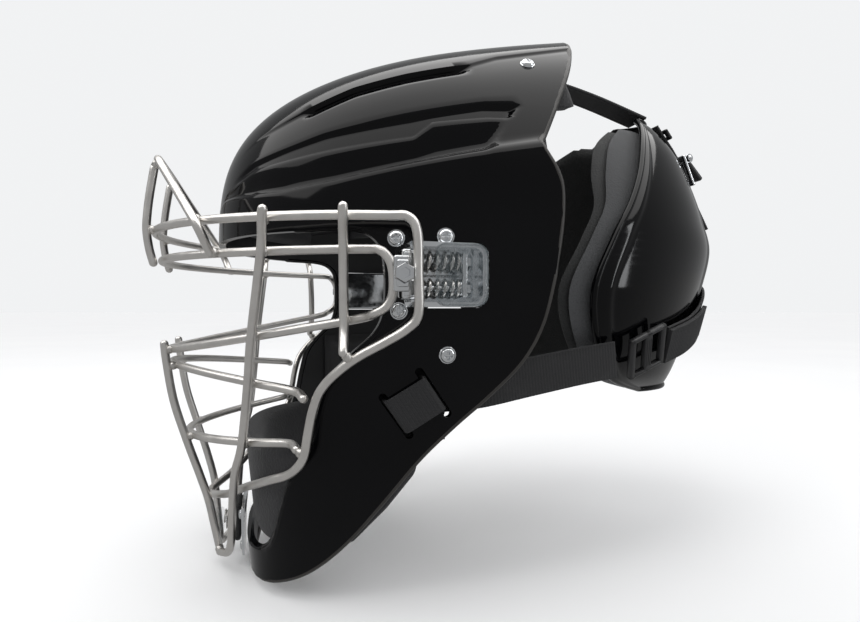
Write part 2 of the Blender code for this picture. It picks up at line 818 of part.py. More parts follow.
def side_straps(side, sign):
    """The loop through the shell's slots, and the strap from there to the ladder lock."""
    first, last = SLOT_CENTRES
    run = Vector((last[0] - first[0], last[1] - first[1])).normalized()
    loop = []
    for centre, along, depth in ((first, -0.2, -5.2), (first, -0.1, -0.4), (first, 0.9, 1.5),
                                 (first, 4.0, 1.7), (last, -4.0, 1.7), (last, -0.9, 1.5),
                                 (last, 0.1, -0.4), (last, 0.2, -5.2)):
        loop.append(skin_place(centre[0] + run.x * along, centre[1] + run.y * along, depth))
    across = []
    for place in loop:
        low = skin_place(place.y + 5.6, place.z - 8.0, 0.0)
        high = skin_place(place.y - 5.6, place.z + 8.0, 0.0)
        across.append((sign * (high.x - low.x), high.y - low.y, high.z - low.z))
    ribbon(side + "_strap_loop", on_side(loop, sign), across, 17.5, 1.4)
    start = skin_place(3.0, -36.0, -8.0)
    strap = smooth_path([start, skin_place(22.0, -35.0, -8.0), (84, 50, -31.5),
                         (81.5, 78, -27.5), (79.5, 100, -25)], 3)
    lean = [(sign * 0.05, -0.12, 1)] * len(strap)
    ribbon(side + "_side_strap", on_side(strap, sign), lean, WEB_W, WEB_T)


def on_side(path, sign):
    return [(sign * p[0], p[1], p[2]) for p in path]


def skin_place(y, z, out):
    """A point of the shell's side at (y, z), moved `out` outwards from the outer skin."""
    low, high = 0.0, 2.0
    for _ in range(30):
        middle = (low + high) / 2
        if plan_point(z, middle)[1] < y:
            low = middle
        else:
            high = middle
    x = plan_point(z, low)[0]
    return Vector((x + out, y, z))


def plate_side(turn, z, step):
    """A place outside the plate's side at a height, with the direction up its face."""
    share = plate_share(z)
    here = Vector(plate_point(share, turn))
    up = Vector(plate_point(share + 0.02, turn)) - here
    round_ = Vector(plate_point(share, turn - 0.02)) - here
    out = round_.cross(up).normalized()
    if out.x < 0:
        out = -out
    return here + out * step, up.normalized()


BAND_HEIGHTS = ((0.67, -17.0), (0.5, -11.0), (0.35, -3.5), (0.22, 5.0), (0.1, 10.5), (0.0, 12.0))


def rear_band():
    """Webbing round the back of the plate between the two ladder locks."""
    left = [plate_side(turn, z, 2.4) for turn, z in BAND_HEIGHTS[:-1]]
    centre, out = on_plate(BAND_HEIGHTS[-1][1], 2.4)
    path = [p for p, _ in left] + [centre]
    whole = path + [Vector(mirrored(p)) for p in reversed(path[:-1])]
    ups = [u for _, u in left] + [Vector((0, -out.z, out.y))]
    all_ups = ups + [Vector(mirrored(u)) for u in reversed(ups[:-1])]
    ribbon("rear_band", smooth_path(whole, 3), smooth_path(all_ups, 3), WEB_W, WEB_T)


def ladder_lock(side, sign):
    """The black plastic ladder lock where the side strap meets the plate."""
    place, up = plate_side(0.782, -20.0, 3.8)
    ahead, _ = plate_side(0.8, -20.4, 3.8)
    for vector in (place, up, ahead):
        vector.x *= sign
    back = (place - ahead).normalized()
    out = back.cross(up).normalized()
    turned = Matrix((out, up.cross(out), up)).transposed()
    seat = bpy.data.objects.new(side + "_lock_seat", None)
    PARTS.objects.link(seat)
    seat.location = metres(place)
    seat.rotation_euler = turned.to_euler()
    lock = box(side + "_ladder_lock", (-1.9, -13, -13), (1.9, 13, 13), BLACK_PLASTIC, 0.9)
    lock.parent = seat
    for number, y in (("first", -6.0), ("second", 6.0)):
        opening = cutter_box(f"{side}_{number}_bar_gap", (-4, y - 3.2, -10), (4, y + 3.2, 10))
        opening.parent = seat
        cut(lock, opening)


def strap_tab(side, sign):
    """The side strap's stitched end tab, lying on the rear band."""
    route = ((0.68, -18.0), (0.55, -13.5), (0.43, -8.5), (0.34, -4.0))
    left = [plate_side(turn, z, 5.2) for turn, z in route]
    path = on_side([p for p, _ in left], sign)
    ups = on_side([u for _, u in left], sign)
    ribbon(side + "_strap_tab", smooth_path(path, 3), smooth_path(ups, 3), WEB_W + 1, 2.4)


# ---------------------------------------------------------------- build

outer_shell()
pads()
cage()
chin_unit()
back_plate()
top_strap()
strap_tail()
buckle()
keeper()
rear_band()
for SIDE, SIGN in (("left", 1), ("right", -1)):
    module(SIDE, SIGN)
    side_straps(SIDE, SIGN)
    ladder_lock(SIDE, SIGN)
    strap_tab(SIDE, SIGN)
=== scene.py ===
import itertools
import math

import bmesh
import bpy
import numpy as np
from mathutils import Matrix, Vector, noise


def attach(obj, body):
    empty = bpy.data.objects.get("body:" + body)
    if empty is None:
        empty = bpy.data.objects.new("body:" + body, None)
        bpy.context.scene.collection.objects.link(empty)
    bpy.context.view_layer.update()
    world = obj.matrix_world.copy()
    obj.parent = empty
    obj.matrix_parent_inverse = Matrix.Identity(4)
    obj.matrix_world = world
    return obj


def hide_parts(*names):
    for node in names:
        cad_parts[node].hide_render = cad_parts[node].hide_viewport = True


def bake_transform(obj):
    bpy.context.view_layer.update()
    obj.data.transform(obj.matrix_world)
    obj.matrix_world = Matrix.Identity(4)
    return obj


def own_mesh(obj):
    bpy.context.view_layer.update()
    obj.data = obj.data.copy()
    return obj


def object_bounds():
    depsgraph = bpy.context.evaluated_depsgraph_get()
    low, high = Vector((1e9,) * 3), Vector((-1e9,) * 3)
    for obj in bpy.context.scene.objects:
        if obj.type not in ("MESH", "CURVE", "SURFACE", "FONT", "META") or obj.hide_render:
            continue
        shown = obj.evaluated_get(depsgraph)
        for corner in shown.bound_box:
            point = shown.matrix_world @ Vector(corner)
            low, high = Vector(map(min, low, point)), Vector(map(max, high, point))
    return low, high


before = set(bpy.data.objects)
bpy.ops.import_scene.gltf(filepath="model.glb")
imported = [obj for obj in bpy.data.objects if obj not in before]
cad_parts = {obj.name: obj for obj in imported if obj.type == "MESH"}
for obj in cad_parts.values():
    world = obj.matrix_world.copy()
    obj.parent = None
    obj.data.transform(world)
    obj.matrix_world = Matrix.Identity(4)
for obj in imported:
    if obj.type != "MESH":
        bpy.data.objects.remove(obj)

CAD_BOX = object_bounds()
MM = 0.001

# ------------------------------------------------------------------ form shared with the CAD
TEMPLE_Z, CHIN_Z, SKIRT_Z = 20.0, -137.0, -146.0
CROWN_HEIGHT, BROW_Y, CHIN_Y = 146.0, -97.0, -80.0
CROWN_REAR_Y, SHELL_REAR_Y = 110.0, 118.0
HALF_WIDTH, CHIN_HALF_WIDTH = 102.0, 61.0
SHELL_T, LINING_GAP = 3.5, 1.0
WIRE_D, WELD_STEP = 4.0, 4.3
MODULE_X, MODULE_Z, MODULE_H = 99.5, 15.2, 27.0
MODULE_FRONT_Y, MODULE_REAR_Y = -18.8, 18.5
MODULE_LOW, MODULE_HIGH = MODULE_Z - MODULE_H / 2, MODULE_Z + MODULE_H / 2
ROD_PITCH = 11.5
WEB_W, WEB_T = 19.0, 1.8
PLATE_STEP = 1.6
PLATE_T = 3.0

X, Y, Z = Vector((1, 0, 0)), Vector((0, 1, 0)), Vector((0, 0, 1))
Y_UP, OUT_X, FACING_FRONT = (X, -Z, Y), (Y, Z, X), (X, Z, -Y)  # axes for moved()
SIDES = (("left", 1), ("right", -1))
RIM_R, RIM_STEP, RIM_SIDES = 1.85, 2.2, 12
MERGE_M = 2e-6  # points closer than this, in metres, are made one
DOME_TILTS = [math.radians(8 + 20.5 * k) for k in range(4)]  # rings of a wire's rounded end


def mix(a, b, share):
    return a + (b - a) * share


def clip(value, low=0.0, high=1.0):
    return min(max(value, low), high)


def smooth(low, high, value):
    share = clip((value - low) / (high - low))
    return share * share * (3 - 2 * share)


def along(stations, value):
    """Linear interpolation through (key, value) pairs."""
    keys, values = zip(*stations)
    return float(np.interp(value, keys, values))


def crown_z(y):
    run = clip((CROWN_REAR_Y - y) / (CROWN_REAR_Y - BROW_Y))
    return TEMPLE_Z + CROWN_HEIGHT * (1.0 - run) ** 0.26


def plan_point(z, turn):
    drop = clip((TEMPLE_Z - z) / (TEMPLE_Z - CHIN_Z), 0.0, 1.1)
    half = HALF_WIDTH - (HALF_WIDTH - CHIN_HALF_WIDTH) * drop ** 1.9
    front = mix(BROW_Y, CHIN_Y, drop)
    widest = mix(30.0, -10.0, drop)
    power = 2.0 / (2.2 + 0.6 * drop + 0.8 * drop ** 6)
    if turn > 1.0:
        return half, mix(widest, SHELL_REAR_Y, turn - 1.0)
    angle = math.radians(90) * turn
    across = half * math.sin(angle) ** power
    return across, widest - (widest - front) * max(math.cos(angle), 0.0) ** power


def skin(level, turn):
    if level < 0.0:
        z = mix(TEMPLE_Z, SKIRT_Z, -level)
        x, y = plan_point(z, turn)
        return Vector((x, y, z))
    x, y = plan_point(TEMPLE_Z, turn)
    angle = math.radians(90) * level
    rise = crown_z(y) - TEMPLE_Z
    return Vector((x * max(math.cos(angle), 0.0) ** 0.8, y, TEMPLE_Z + rise * math.sin(angle)))


def level_of(z):
    return (z - TEMPLE_Z) / (TEMPLE_Z - SKIRT_Z)


def bisect(low, high, below):
    """Halves a range 34 times; `below` says whether its middle is still too low."""
    for _ in range(34):
        middle = (low + high) / 2
        if below(middle):
            low = middle
        else:
            high = middle
    return low, high


def turn_at(y, z):
    """The turn whose plan station at height z is y."""
    return bisect(0.0, 2.0, lambda turn: plan_point(z, turn)[1] < y)[0]


def skin_at(y, z):
    """Level and turn of the left skin's point seen at (y, z) from the side."""
    if z <= TEMPLE_Z:
        return level_of(z), turn_at(y, z)
    rise = max(crown_z(y) - TEMPLE_Z, 1e-6)
    sine = clip((z - TEMPLE_Z) / rise)
    return math.asin(sine) / math.radians(90), turn_at(y, TEMPLE_Z)


def skin_normal(level, turn):
    step = 0.004
    a = skin(level, min(turn + step, 2.0)) - skin(level, max(turn - step, 0.0))
    b = skin(min(level + step, 1.0), turn) - skin(max(level - step, -1.0), turn)
    out = a.cross(b)
    if out.length < 1e-9:
        return Vector((0.0, -1.0, 0.0))
    out.normalize()
    here = skin(level, turn)
    away = Vector((here.x, here.y - 10.0, max(here.z - TEMPLE_Z, 0.0)))
    return out if out.dot(away) > 0 else -out


def skin_place(y, z, out):
    x = plan_point(z, turn_at(y, z))[0]
    return Vector((x + out, y, z))


def mirrored(point):
    return Vector((-point[0], point[1], point[2]))


def on_side(path, side):
    return [Vector((side * p[0], p[1], p[2])) for p in path]


def both_sides(left):
    """A route from the right over the middle to the left, from its left half."""
    return [mirrored(p) for p in reversed(left[1:])] + [Vector(p) for p in left]


def spread(a, b, count):
    return [mix(a, b, k / (count - 1)) for k in range(count)]


def ring_angles(sides):
    return [2 * math.pi * k / sides for k in range(sides)]


def spline(a, b, c, d, t):
    """The point at share t from b to c on the smooth curve through a, b, c and d."""
    return 0.5 * (2 * b + (c - a) * t + (2 * a - 5 * b + 4 * c - d) * t ** 2
                  + (3 * b - a - 3 * c + d) * t ** 3)


def smooth_path(points, steps=4, closed=False):
    count = len(points)
    pts = [Vector(p) for p in points]
    path = []
    for i in range(count if closed else count - 1):
        b, c = pts[i], pts[(i + 1) % count]
        a = pts[i - 1] if closed or i else pts[0] * 2 - pts[1]
        d = pts[(i + 2) % count] if closed or i + 2 < count else c * 2 - b
        path += [spline(a, b, c, d, k / steps) for k in range(steps)]
    return path if closed else path + [pts[-1]]


def edge_curve(points, steps):
    return [(p.x, p.y) for p in smooth_path([(y, z, 0.0) for y, z in points], steps)]


def reach_along(pts):
    """The distance travelled at each row of an array of points."""
    return np.concatenate([[0], np.cumsum(np.linalg.norm(np.diff(pts, axis=0), axis=1))])


def places_at(distances, reach, pts):
    return [Vector([float(np.interp(s, reach, pts[:, k])) for k in range(3)]) for s in distances]


def resampled(path, spacing):
    """The same route with points about `spacing` apart."""
    pts = np.array([tuple(p) for p in path])
    reach = reach_along(pts)
    count = max(int(round(reach[-1] / spacing)), 1) + 1
    return places_at(np.linspace(0, reach[-1], count), reach, pts)


# ------------------------------------------------------------------ mesh parts, in millimetres
# A part is (points, faces, weave) where weave is a texture place in mm for each point.


def part(points, faces, weave=None):
    points = np.array([tuple(p) for p in points], float).reshape(-1, 3)
    if weave is None:
        weave = np.zeros((len(points), 2))
    return points, [tuple(f) for f in faces], np.array(weave, float)


def join(*parts):
    points, faces, weave, count = [], [], [], 0
    for p, f, w in parts:
        points.append(p)
        weave.append(w)
        faces += [tuple(i + count for i in face) for face in f]
        count += len(p)
    return np.concatenate(points), faces, np.concatenate(weave)


def moved(made, origin=(0, 0, 0), axes=None):
    """A part turned so that its X, Y, Z run along `axes`, then moved to origin."""
    points, faces, weave = made
    if axes is not None:
        points = points @ np.array([tuple(a) for a in axes], float)
    return points + np.array(tuple(origin), float), faces, weave


def flipped(made):
    """The mirror image of a part on the other side of the middle plane."""
    points, faces, weave = made
    return points * np.array([-1.0, 1.0, 1.0]), [tuple(reversed(f)) for f in faces], weave


def grid_faces(rows, columns, wrap=False, flip=False):
    faces = []
    for r in range(rows - 1):
        for c in range(columns if wrap else columns - 1):
            d = (c + 1) % columns
            face = (r * columns + c, r * columns + d, (r + 1) * columns + d, (r + 1) * columns + c)
            faces.append(tuple(reversed(face)) if flip else face)
    return faces


def frames(path, across=None, closed=False):
    """Tangent, side and up at each point of a path, carried along without twist."""
    count = len(path)
    result = []
    side = None
    for i in range(count):
        if closed:
            run = path[(i + 1) % count] - path[i - 1]
        else:
            run = path[min(i + 1, count - 1)] - path[max(i - 1, 0)]
        run.normalize()
        if across is not None:
            side = Vector(across[i])
        elif side is None:
            side = Vector((0, 0, 1)) if abs(run.z) < 0.9 else Vector((1, 0, 0))
        side = side - run * side.dot(run)
        side.normalize()
        result.append((run, side.copy(), side.cross(run)))
    return result


def sweep(path, section, across=None, closed=False, scale=None):
    """A closed section of (side, up) points carried along a path."""
    path = [Vector(p) for p in path]
    points, weave = [], []
    reach = 0.0
    perimeter = [0.0]
    for a, b in zip(section, section[1:]):
        perimeter.append(perimeter[-1] + math.dist(a, b))
    for i, (here, (_, side, up)) in enumerate(zip(path, frames(path, across, closed))):
        if i:
            reach += (here - path[i - 1]).length
        wide, high = scale[i] if scale is not None else (1.0, 1.0)
        for (a, b), edge in zip(section, perimeter):
            points.append(here + side * a * wide + up * b * high)
            weave.append((reach, edge))
    count = len(section)
    faces = grid_faces(len(path), count, wrap=True)
    last = (len(path) - 1) * count
    if closed:
        faces += [(last + c, last + (c + 1) % count, (c + 1) % count, c) for c in range(count)]
    else:
        faces += [tuple(reversed(range(count))), tuple(range(last, last + count))]
    return part(points, faces, weave)


def circle(radius, sides):
    return [(radius * math.cos(turn), radius * math.sin(turn)) for turn in ring_angles(sides)]


def tube(path, radius, sides=14, closed=False):
    """A round wire along a path, with domed ends unless it is a closed ring."""
    path = [Vector(p) for p in path]
    if closed:
        return sweep(path, circle(radius, sides), closed=True)
    start = (path[0] - path[1]).normalized() * radius
    finish = (path[-1] - path[-2]).normalized() * radius
    whole = [path[0] + start * math.cos(tilt) for tilt in DOME_TILTS] + path
    whole += [path[-1] + finish * math.cos(tilt) for tilt in reversed(DOME_TILTS)]
    dome = [(math.sin(tilt), math.sin(tilt)) for tilt in DOME_TILTS]
    scale = dome + [(1.0, 1.0)] * len(path) + dome[::-1]
    return sweep(whole, circle(radius, sides), scale=scale)


def rounded_box(low, high, radius, k=3):
    low, high = np.array(low, float), np.array(high, float)
    half = (high - low) / 2
    radius = min(radius, *(half * 0.98))
    quarters = enumerate(((1, 1), (-1, 1), (-1, -1), (1, -1)))
    ring = [(math.radians((q + i / k) * 90), sx, sy)
            for q, (sx, sy) in quarters for i in range(k + 1)]
    rows = [(math.radians(-90 + 90 * i / k), -1) for i in range(k + 1)]
    rows += [(math.radians(90 * i / k), 1) for i in range(k + 1)]
    points = []
    for tilt, sz in rows:
        for turn, sx, sy in ring:
            out = np.array([math.cos(tilt) * math.cos(turn), math.cos(tilt) * math.sin(turn),
                            math.sin(tilt)])
            points.append(np.array([sx, sy, sz]) * (half - radius) + out * radius)
    count = len(ring)
    faces = grid_faces(len(rows), count, wrap=True)
    corners = [q * (k + 1) for q in range(4)]
    top = (len(rows) - 1) * count
    faces += [tuple(reversed(corners)), tuple(top + c for c in corners)]
    return part(np.array(points) + (low + high) / 2, faces)


def lathe(profile, sides=28, turn_scale=None):
    """A profile of (radius, height) turned round Z."""
    points = []
    for angle in ring_angles(sides):
        grow = turn_scale(angle) if turn_scale else 1.0
        points += [(radius * grow * math.cos(angle), radius * grow * math.sin(angle), height)
                   for radius, height in profile]
    count = len(profile)
    faces = []
    for k in range(sides):
        here, after = k * count, (k + 1) % sides * count
        faces += [(here + r, after + r, after + r + 1, here + r + 1) for r in range(count - 1)]
    return part(points, faces)


def hexagon(angle):
    return 1.0 / math.cos((angle + math.pi / 6) % (math.pi / 3) - math.pi / 6)


def screw(radius=3.5, height=1.9):
    """A pan head with a cross recess, standing on Z = 0."""
    rings, sides = 14, 40
    recess_reach, recess_half, recess_depth = radius * 0.55, radius * 0.13, 0.8
    points = []
    for r in range(rings):
        share = 1 - r / (rings - 1)
        for angle in ring_angles(sides):
            rad = radius * math.sin(math.radians(90) * share)
            z = height * (1 - share ** 2.6)
            x, y = rad * math.cos(angle), rad * math.sin(angle)
            if rad < recess_reach and min(abs(x), abs(y)) < recess_half:
                z -= recess_depth
            points.append((x, y, z))
    washer = lathe([(0.0, -0.4), (radius * 1.12, -0.4), (radius * 1.16, 0.0),
                    (radius * 1.1, 0.25), (0.0, 0.25)])
    return join(part(points, grid_faces(rings, sides, wrap=True)), washer)


def mesh_object(name, made, looks, smooth_angle=40):
    points, faces, weave = made
    mesh = bpy.data.meshes.new(name)
    mesh.from_pydata((points * MM).tolist(), [], faces)
    attribute = mesh.attributes.new("weave", "FLOAT2", "POINT")
    attribute.data.foreach_set("vector", weave.astype(np.float32).ravel())
    for look in looks:
        mesh.materials.append(look)
    shape = bmesh.new()
    shape.from_mesh(mesh)
    bmesh.ops.remove_doubles(shape, verts=shape.verts, dist=MERGE_M)
    bmesh.ops.recalc_face_normals(shape, faces=shape.faces)
    shape.to_mesh(mesh)
    shape.free()
    mesh.shade_smooth()
    mesh.set_sharp_from_angle(angle=math.radians(smooth_angle))
    obj = bpy.data.objects.new(name, mesh)
    bpy.context.scene.collection.objects.link(obj)
    return obj


def piece(name, made, look, body, node=None, smooth_angle=40):
    """A visible piece that rides on a body, stands for a CAD node and has its look's slot."""
    obj = mesh_object(name, made, [look], smooth_angle)
    if body:
        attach(obj, body)
    if node:
        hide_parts(node)
    return obj


# ------------------------------------------------------------------ materials


class Look:
    """Small helper for building a Principled material from nodes."""

    def __init__(self, name, colour, roughness, metallic=0.0, **sockets):
        self.material = bpy.data.materials.new(name)
        self.material.use_nodes = True
        self.tree = self.material.node_tree
        self.shader = self.tree.nodes["Principled BSDF"]
        self.shader.inputs["Base Color"].default_value = (*colour, 1.0)
        self.shader.inputs["Roughness"].default_value = roughness
        self.shader.inputs["Metallic"].default_value = metallic
        for key, value in sockets.items():
            self.shader.inputs[key.replace("_", " ")].default_value = value
        self.place = self.add("ShaderNodeTexCoord").outputs["Object"]

    def add(self, kind, **settings):
        node = self.tree.nodes.new(kind)
        for key, value in settings.items():
            if key in node.inputs:
                node.inputs[key].default_value = value
            else:
                setattr(node, key, value)
        return node

    def link(self, a, b):
        self.tree.links.new(a, b)

    def stretched(self, scale):
        node = self.add("ShaderNodeMapping")
        self.link(self.place, node.inputs["Vector"])
        node.inputs["Scale"].default_value = scale
        return node.outputs["Vector"]

    def noise(self, scale, detail, source=None):
        node = self.add("ShaderNodeTexNoise", Scale=scale, Detail=detail, Roughness=0.55)
        self.link(source or self.place, node.inputs["Vector"])
        return node.outputs["Fac"]

    def ramp(self, source, stops):
        node = self.add("ShaderNodeValToRGB")
        self.link(source, node.inputs["Fac"])
        steps = node.color_ramp.elements
        while len(steps) < len(stops):
            steps.new(0.5)
        for step, (place, value) in zip(steps, stops):
            step.position = place
            step.color = (*value, 1.0) if isinstance(value, tuple) else (value, value, value, 1.0)
        return node.outputs["Color"]

    def maths(self, kind, a, b):
        node = self.add("ShaderNodeMath", operation=kind)
        for socket, value in zip(node.inputs, (a, b)):
            if isinstance(value, (int, float)):
                socket.default_value = value
            else:
                self.link(value, socket)
        return node.outputs["Value"]

    def blend(self, share, a, b):
        node = self.add("ShaderNodeMix", data_type="RGBA")
        self.link(share, node.inputs["Factor"])
        for socket, value in ((node.inputs[6], a), (node.inputs[7], b)):
            if isinstance(value, tuple):
                socket.default_value = (*value, 1.0)
            else:
                self.link(value, socket)
        return node.outputs[2]

    def colour(self, source, stops=None):
        self.link(self.ramp(source, stops) if stops else source, self.shader.inputs["Base Color"])

    def rough(self, source, stops):
        self.link(self.ramp(source, stops), self.shader.inputs["Roughness"])

    def bump(self, height, strength, distance):
        node = self.add("ShaderNodeBump", Strength=strength, Distance=distance)
        self.link(height, node.inputs["Height"])
        last = self.shader.inputs["Normal"]
        if last.is_linked:
            self.link(last.links[0].from_socket, node.inputs["Normal"])
        self.link(node.outputs["Normal"], last)

    def weave(self):
        """The place along and across a strap, in millimetres."""
        return self.add("ShaderNodeAttribute", attribute_name="weave").outputs["Vector"]


def gloss_black():
    look = Look("gloss_black_shell_paint", (0.0035, 0.0035, 0.004), 0.09, Specular_IOR_Level=0.16)
    broad = look.noise(14, 2)
    streak = look.noise(60, 4, look.stretched((1.0, 0.25, 6.0)))
    look.colour(broad, [(0.3, (0.0010, 0.0010, 0.0013)), (0.75, (0.0022, 0.0022, 0.0026))])
    look.rough(streak, [(0.52, 0.075), (0.72, 0.12), (0.8, 0.2)])
    look.bump(broad, 0.05, 0.002)
    look.bump(look.noise(900, 2), 0.03, 0.0001)
    return look.material


def satin_wire():
    look = Look("satin_titanium_wire", (0.5, 0.48, 0.455), 0.33, 1.0)
    blotch = look.noise(120, 4)
    look.colour(look.blend(blotch, (0.64, 0.62, 0.595), (0.84, 0.82, 0.79)))
    look.rough(blotch, [(0.3, 0.28), (0.7, 0.4)])
    look.bump(look.noise(1500, 3), 0.25, 0.00006)
    look.bump(blotch, 0.15, 0.0003)
    return look.material


def weld_metal():
    look = Look("weld_bead", (0.44, 0.42, 0.4), 0.4, 1.0)
    blotch = look.noise(500, 4)
    look.colour(blotch, [(0.3, (0.5, 0.485, 0.465)), (0.7, (0.78, 0.76, 0.73))])
    look.rough(blotch, [(0.3, 0.3), (0.7, 0.5)])
    look.bump(blotch, 0.4, 0.0004)
    return look.material


def scaled(colour, share):
    return tuple(c * share for c in colour)


def bright(name, colour, rough_low, rough_high, scale=400):
    look = Look(name, colour, rough_low, 1.0)
    smudge = look.noise(scale, 4)
    look.colour(look.blend(look.noise(70, 3), scaled(colour, 0.7), colour))
    look.rough(smudge, [(0.35, rough_low), (0.7, rough_high)])
    look.bump(smudge, 0.12, 0.0001)
    return look.material


def clear_plastic():
    look = Look("clear_cover_polycarbonate", (0.10, 0.12, 0.13), 0.05, IOR=1.5, Alpha=0.13)
    smear = look.noise(180, 3)
    look.colour(smear, [(0.3, (0.07, 0.09, 0.1)), (0.7, (0.2, 0.23, 0.24))])
    look.rough(smear, [(0.4, 0.03), (0.75, 0.14)])
    look.bump(smear, 0.05, 0.0002)
    return look.material


def webbing():
    look = Look("black_woven_webbing", (0.016, 0.016, 0.017), 0.78, Sheen_Weight=0.04)
    split = look.add("ShaderNodeSeparateXYZ")
    look.link(look.weave(), split.inputs["Vector"])
    rib, thread = [look.maths("SINE", look.maths("MULTIPLY", split.outputs[axis], rate), 0.0)
                   for axis, rate in (("X", 5.2), ("Y", 7.5))]
    level = look.maths("MULTIPLY_ADD", look.maths("MULTIPLY", rib, thread), 0.22)
    level.node.inputs[2].default_value = 0.5
    fuzz = look.noise(2600, 3)
    # Painted shade: the weave's colour follows its bump height, so its sunk threads are darker and
    # its raised ribs lighter.
    weave_with_painted_shade = look.ramp(level, [(0.2, (0.003, 0.003, 0.004)), (0.8, (0.018, 0.018, 0.0195))])
    wear = look.ramp(look.noise(90, 3), [(0.55, 0.0), (0.8, 0.4)])
    look.colour(look.blend(wear, weave_with_painted_shade, (0.022, 0.022, 0.023)))
    look.rough(fuzz, [(0.3, 0.62), (0.7, 0.9)])
    look.bump(level, 0.7, 0.0004)
    look.bump(fuzz, 0.25, 0.0002)
    return look.material


def foam(name, low, high, cell=750):
    look = Look(name, high, 0.9, Sheen_Weight=0.1)
    cells = look.add("ShaderNodeTexVoronoi", Scale=cell)
    look.link(look.place, cells.inputs["Vector"])
    broad = look.noise(45, 3)
    # Painted shade in the pores: the middles of the cells, which the bump below sinks, are
    # darkened.
    painted_pore_shade = look.ramp(cells.outputs["Distance"], [(0.1, 0.35), (0.45, 0.0)])
    look.colour(look.blend(painted_pore_shade, look.blend(broad, low, high), scaled(low, 0.35)))
    look.rough(look.noise(1800, 2), [(0.3, 0.78), (0.7, 0.95)])
    look.bump(cells.outputs["Distance"], 0.5, 0.0004)
    look.bump(broad, 0.25, 0.002)
    return look.material


def moulded(name, colour, rough, grain=1400):
    look = Look(name, colour, rough)
    broad = look.noise(60, 3)
    look.colour(look.blend(broad, scaled(colour, 0.7), scaled(colour, 1.4)))
    look.rough(broad, [(0.3, rough * 0.85), (0.75, rough * 1.2)])
    look.bump(look.noise(grain, 3), 0.35, 0.0002)
    return look.material


def thread():
    look = Look("stitch_thread", (0.03, 0.03, 0.032), 0.6)
    twist = look.noise(2500, 2)
    look.colour(twist, [(0.3, (0.014, 0.014, 0.015)), (0.7, (0.06, 0.06, 0.063))])
    look.bump(twist, 0.5, 0.0002)
    return look.material


GLOSS = gloss_black()
WIRE = satin_wire()
WELD = weld_metal()
CHROME = bright("bright_plated_hardware", (0.86, 0.88, 0.9), 0.07, 0.22)
STEEL = bright("drawn_spring_steel", (0.7, 0.69, 0.67), 0.14, 0.3, 900)
CLEAR = clear_plastic()
WEBBING = webbing()
PLASTIC = moulded("black_moulded_plastic", (0.011, 0.011, 0.012), 0.36)
RUBBER = moulded("black_rubber", (0.014, 0.014, 0.015), 0.7, 900)
DARK_FOAM = foam("black_foam_cover", (0.010, 0.010, 0.011), (0.022, 0.022, 0.024))
LINER_DARK = foam("liner_dark_foam", (0.010, 0.0105, 0.0105), (0.018, 0.019, 0.019), 900)
LINER_LIGHT = foam("liner_grey_foam", (0.034, 0.035, 0.037), (0.056, 0.058, 0.061), 900)
THREAD = thread()
INNER = moulded("shell_inner_face", (0.008, 0.008, 0.009), 0.5, 700)
CUT_EDGE = moulded("shell_cut_edge", (0.018, 0.016, 0.014), 0.45)


# ------------------------------------------------------------------ shell

SHELL_EDGE = [
    (110, 185), (104, 170), (93, 156), (77, 126), (65, 105), (53, 83), (49.5, 76), (57, 62),
    (58.5, 50), (56.5, 34), (52, 12), (47, -7), (38, -23), (23, -38), (8, -51), (-7, -66),
    (-22, -86), (-34, -102), (-45, -114), (-55, -122), (-64, -126.5), (-74, -130), (-95, -135),
]
FACE_EDGE = [
    (-60, 35), (-38, 35), (-28, 31), (-24, 22), (-24, 2), (-28, -9), (-38, -19), (-46, -29),
    (-50, -42), (-53, -56), (-57, -68), (-62, -77), (-66, -92), (-69, -106), (-73, -114),
    (-80, -118),
]
OPENING_MIDDLE = (-80.0, -30.0)
FACE_RIM_BACK = 1.4  # keeps the rim clear of the cage wires when the cage slides in
REAR_RIM_TOP_Y = 97.5
RIM_LOWEST_Z = SKIRT_Z + 9.5
TURN_SPACING, LOWER_ROWS = 1.4, 30
STRAP_SLOTS = (((-24.0, -37.0), (-12.0, -54.0)), ((-9.0, -26.0), (4.5, -45.0)))
SLOT_W = 3.6

# The moulded lines of the crown, as (station, height) in the side view.
BAND_LINE = ((-93, 69), (-90, 73), (-75, 85), (-56, 95), (-32, 107), (-7, 115), (24, 123),
             (41, 131), (83, 143), (115, 152))
FACE_TOP = ((-92, 60), (-78, 70.5), (-62, 76), (-47, 81), (-7, 90), (25, 97.5), (45, 99))
FACE_FOOT = ((-92, 58), (-76, 67), (-45, 72.5), (-9, 78.5), (0, 87), (27, 91), (50, 92))
LEDGE = ((-97, 52), (-91, 54), (-66, 53), (-44, 56), (-8, 63.5), (47, 75), (80, 82), (118, 90))


def ledge_rise(y):
    """Height of the sloped band along the ledge."""
    return mix(1.8, 7.0, smooth(-90, 60, y))


def slant_end(z):
    """Where the sunken side panels end, behind a slanted wall."""
    return 24 + (z - 73) * 16 / 22


